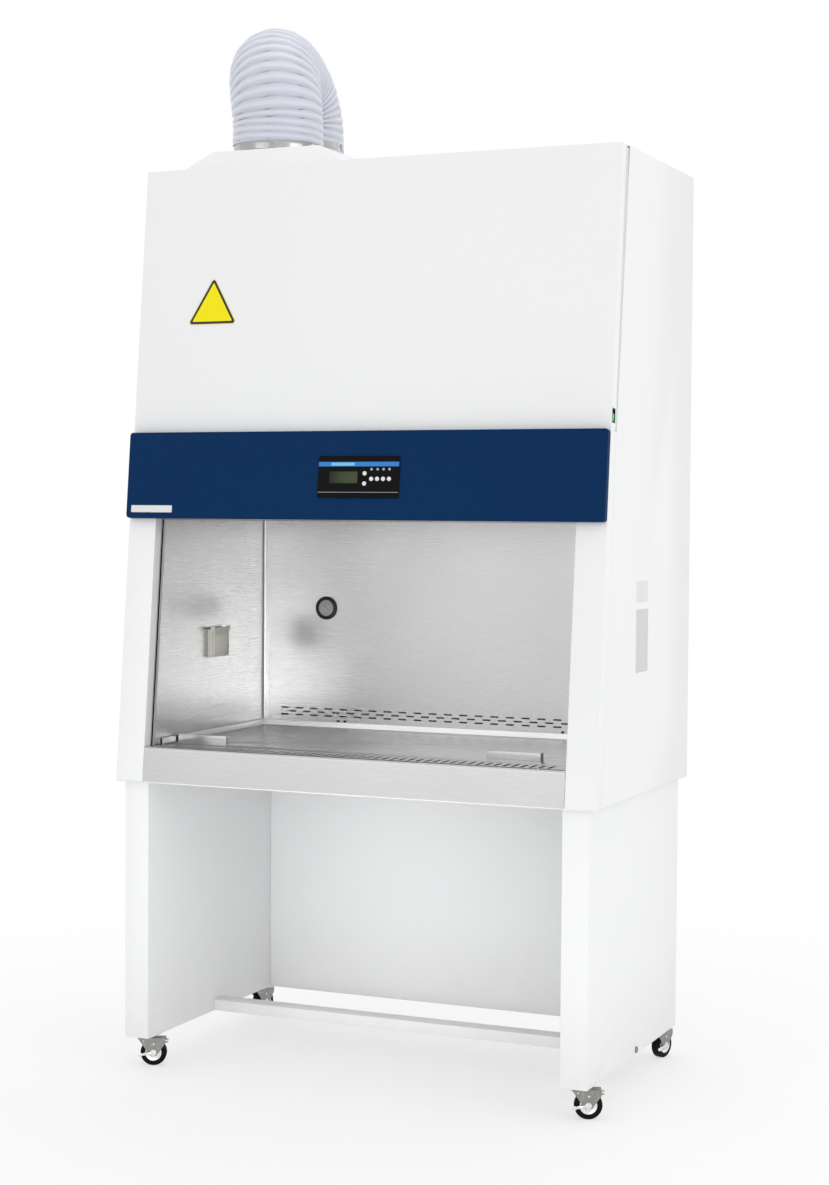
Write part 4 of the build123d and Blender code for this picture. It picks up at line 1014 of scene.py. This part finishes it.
# Floor, light
studio = dict(floorSize=60, floorColour=(0.90, 0.90, 0.90), skyLevel=0.92, skyColour=(1.0, 1.0, 1.0),
              whiteFrom=0.9, whiteAt=2.6, whiteNear=0.55, spotBlend=0.6,
              lamps=(  # name, place, aimed at, size, watts
                  ("key", (-1.6, -5.2, 2.6), (0.0, 0.0, 1.2), 3.2, 17),
                  ("fill", (5.0, -1.6, 2.2), (0.2, 0.0, 1.2), 3.2, 32),
                  ("top", (0.2, 0.3, 5.6), (0.0, 0.0, 1.0), 3.4, 22),
                  ("back", (-3.4, 4.4, 2.4), (0.0, 0.0, 1.2), 3.0, 22)),
              spots=(  # name, place, aimed at, size, watts, cone in degrees
                  ("standSpot", (0.9, -3.2, 0.48), (-0.16, 0.2, 0.40), 0.5, 150, 23),
                  ("chamberSpot", (1.5, -3.0, 1.36), (-0.50, 0.25, 1.12), 0.5, 62, 17)))


def aimLamp(name, data, place, target):
    lamp = bpy.data.objects.new(name, data)
    bpy.context.scene.collection.objects.link(lamp)
    lamp.location = place
    lamp.rotation_euler = (Vector(target) - Vector(place)).to_track_quat("-Z", "Y").to_euler()


def lightStudio():
    world = bpy.data.worlds.new("studio")
    bpy.context.scene.world = world
    world.use_nodes = True
    tree = world.node_tree
    tree.nodes.clear()
    output = tree.nodes.new("ShaderNodeOutputWorld")
    path = tree.nodes.new("ShaderNodeLightPath")
    seen = path.outputs["Is Camera Ray"]
    for ray in ("Is Glossy Ray", "Is Transmission Ray"):
        either = tree.nodes.new("ShaderNodeMath")
        either.operation = "MAXIMUM"
        tree.links.new(seen, either.inputs[0])
        tree.links.new(path.outputs[ray], either.inputs[1])
        seen = either.outputs[0]
    mixed = tree.nodes.new("ShaderNodeMixShader")
    tree.links.new(seen, mixed.inputs[0])
    skies = ((studio["skyColour"], studio["skyLevel"]), ((1, 1, 1), 1.0))  # what lights, what is seen
    for number, (colour, strength) in enumerate(skies, 1):
        sky = tree.nodes.new("ShaderNodeBackground")
        sky.inputs["Color"].default_value = (*colour, 1)
        sky.inputs["Strength"].default_value = strength
        tree.links.new(sky.outputs[0], mixed.inputs[number])
    tree.links.new(mixed.outputs[0], output.inputs["Surface"])
    for name, place, target, size, watts in studio["lamps"]:
        data = bpy.data.lights.new(name, "AREA")
        data.shape = "SQUARE"
        data.size = size
        data.energy = watts
        aimLamp(name, data, place, target)
    for name, place, target, size, watts, cone in studio["spots"]:
        data = bpy.data.lights.new(name, "SPOT")
        data.shadow_soft_size = size
        data.energy = watts
        data.spot_size = math.radians(cone)
        data.spot_blend = studio["spotBlend"]
        aimLamp(name, data, place, target)


def layFloor():
    size = studio["floorSize"] / 2
    mesh = bpy.data.meshes.new("floor")
    mesh.from_pydata([(-size, -size, 0), (size, -size, 0), (size, size, 0), (-size, size, 0)], [],
                     [(0, 1, 2, 3)])
    floor = bpy.data.objects.new("floor", mesh)
    bpy.context.scene.collection.objects.link(floor)
    ground = Finish("floorPale", Roughness=0.9, Specular_IOR_Level=0.1)
    ground.feed(Base_Color=ground.mix(ground.noise(0.8, 3), (0.88, 0.88, 0.88), studio["floorColour"]))
    seen = [ground.node("ShaderNodeLightPath", out=name) for name in
            ("Is Camera Ray", "Is Glossy Ray", "Is Transmission Ray")]
    away = ground.node("ShaderNodeVectorMath", {"operation": "LENGTH"}, {0: ground.place()}, out="Value")
    white = ground.node("ShaderNodeEmission", None, {"Color": (1, 1, 1), "Strength": 1.0})
    share = ground.span(away, studio["whiteFrom"], studio["whiteAt"], studio["whiteNear"], 1.0)
    seenShare = share * ground.node("ShaderNodeMath", {"operation": "MAXIMUM", "use_clamp": True},
                                    {0: seen[0], 1: seen[1] + seen[2]})
    mixed = ground.node("ShaderNodeMixShader", None,
                        {0: seenShare, 1: Wire(ground, ground.shader.outputs[0]), 2: white})
    ground.plug(ground.output.inputs["Surface"], mixed)
    mesh.materials.append(ground.material)


aimCamera()
lightStudio()
layFloor()
bpy.context.scene.view_settings.view_transform = "Standard"
print("camera, floor and lights placed")
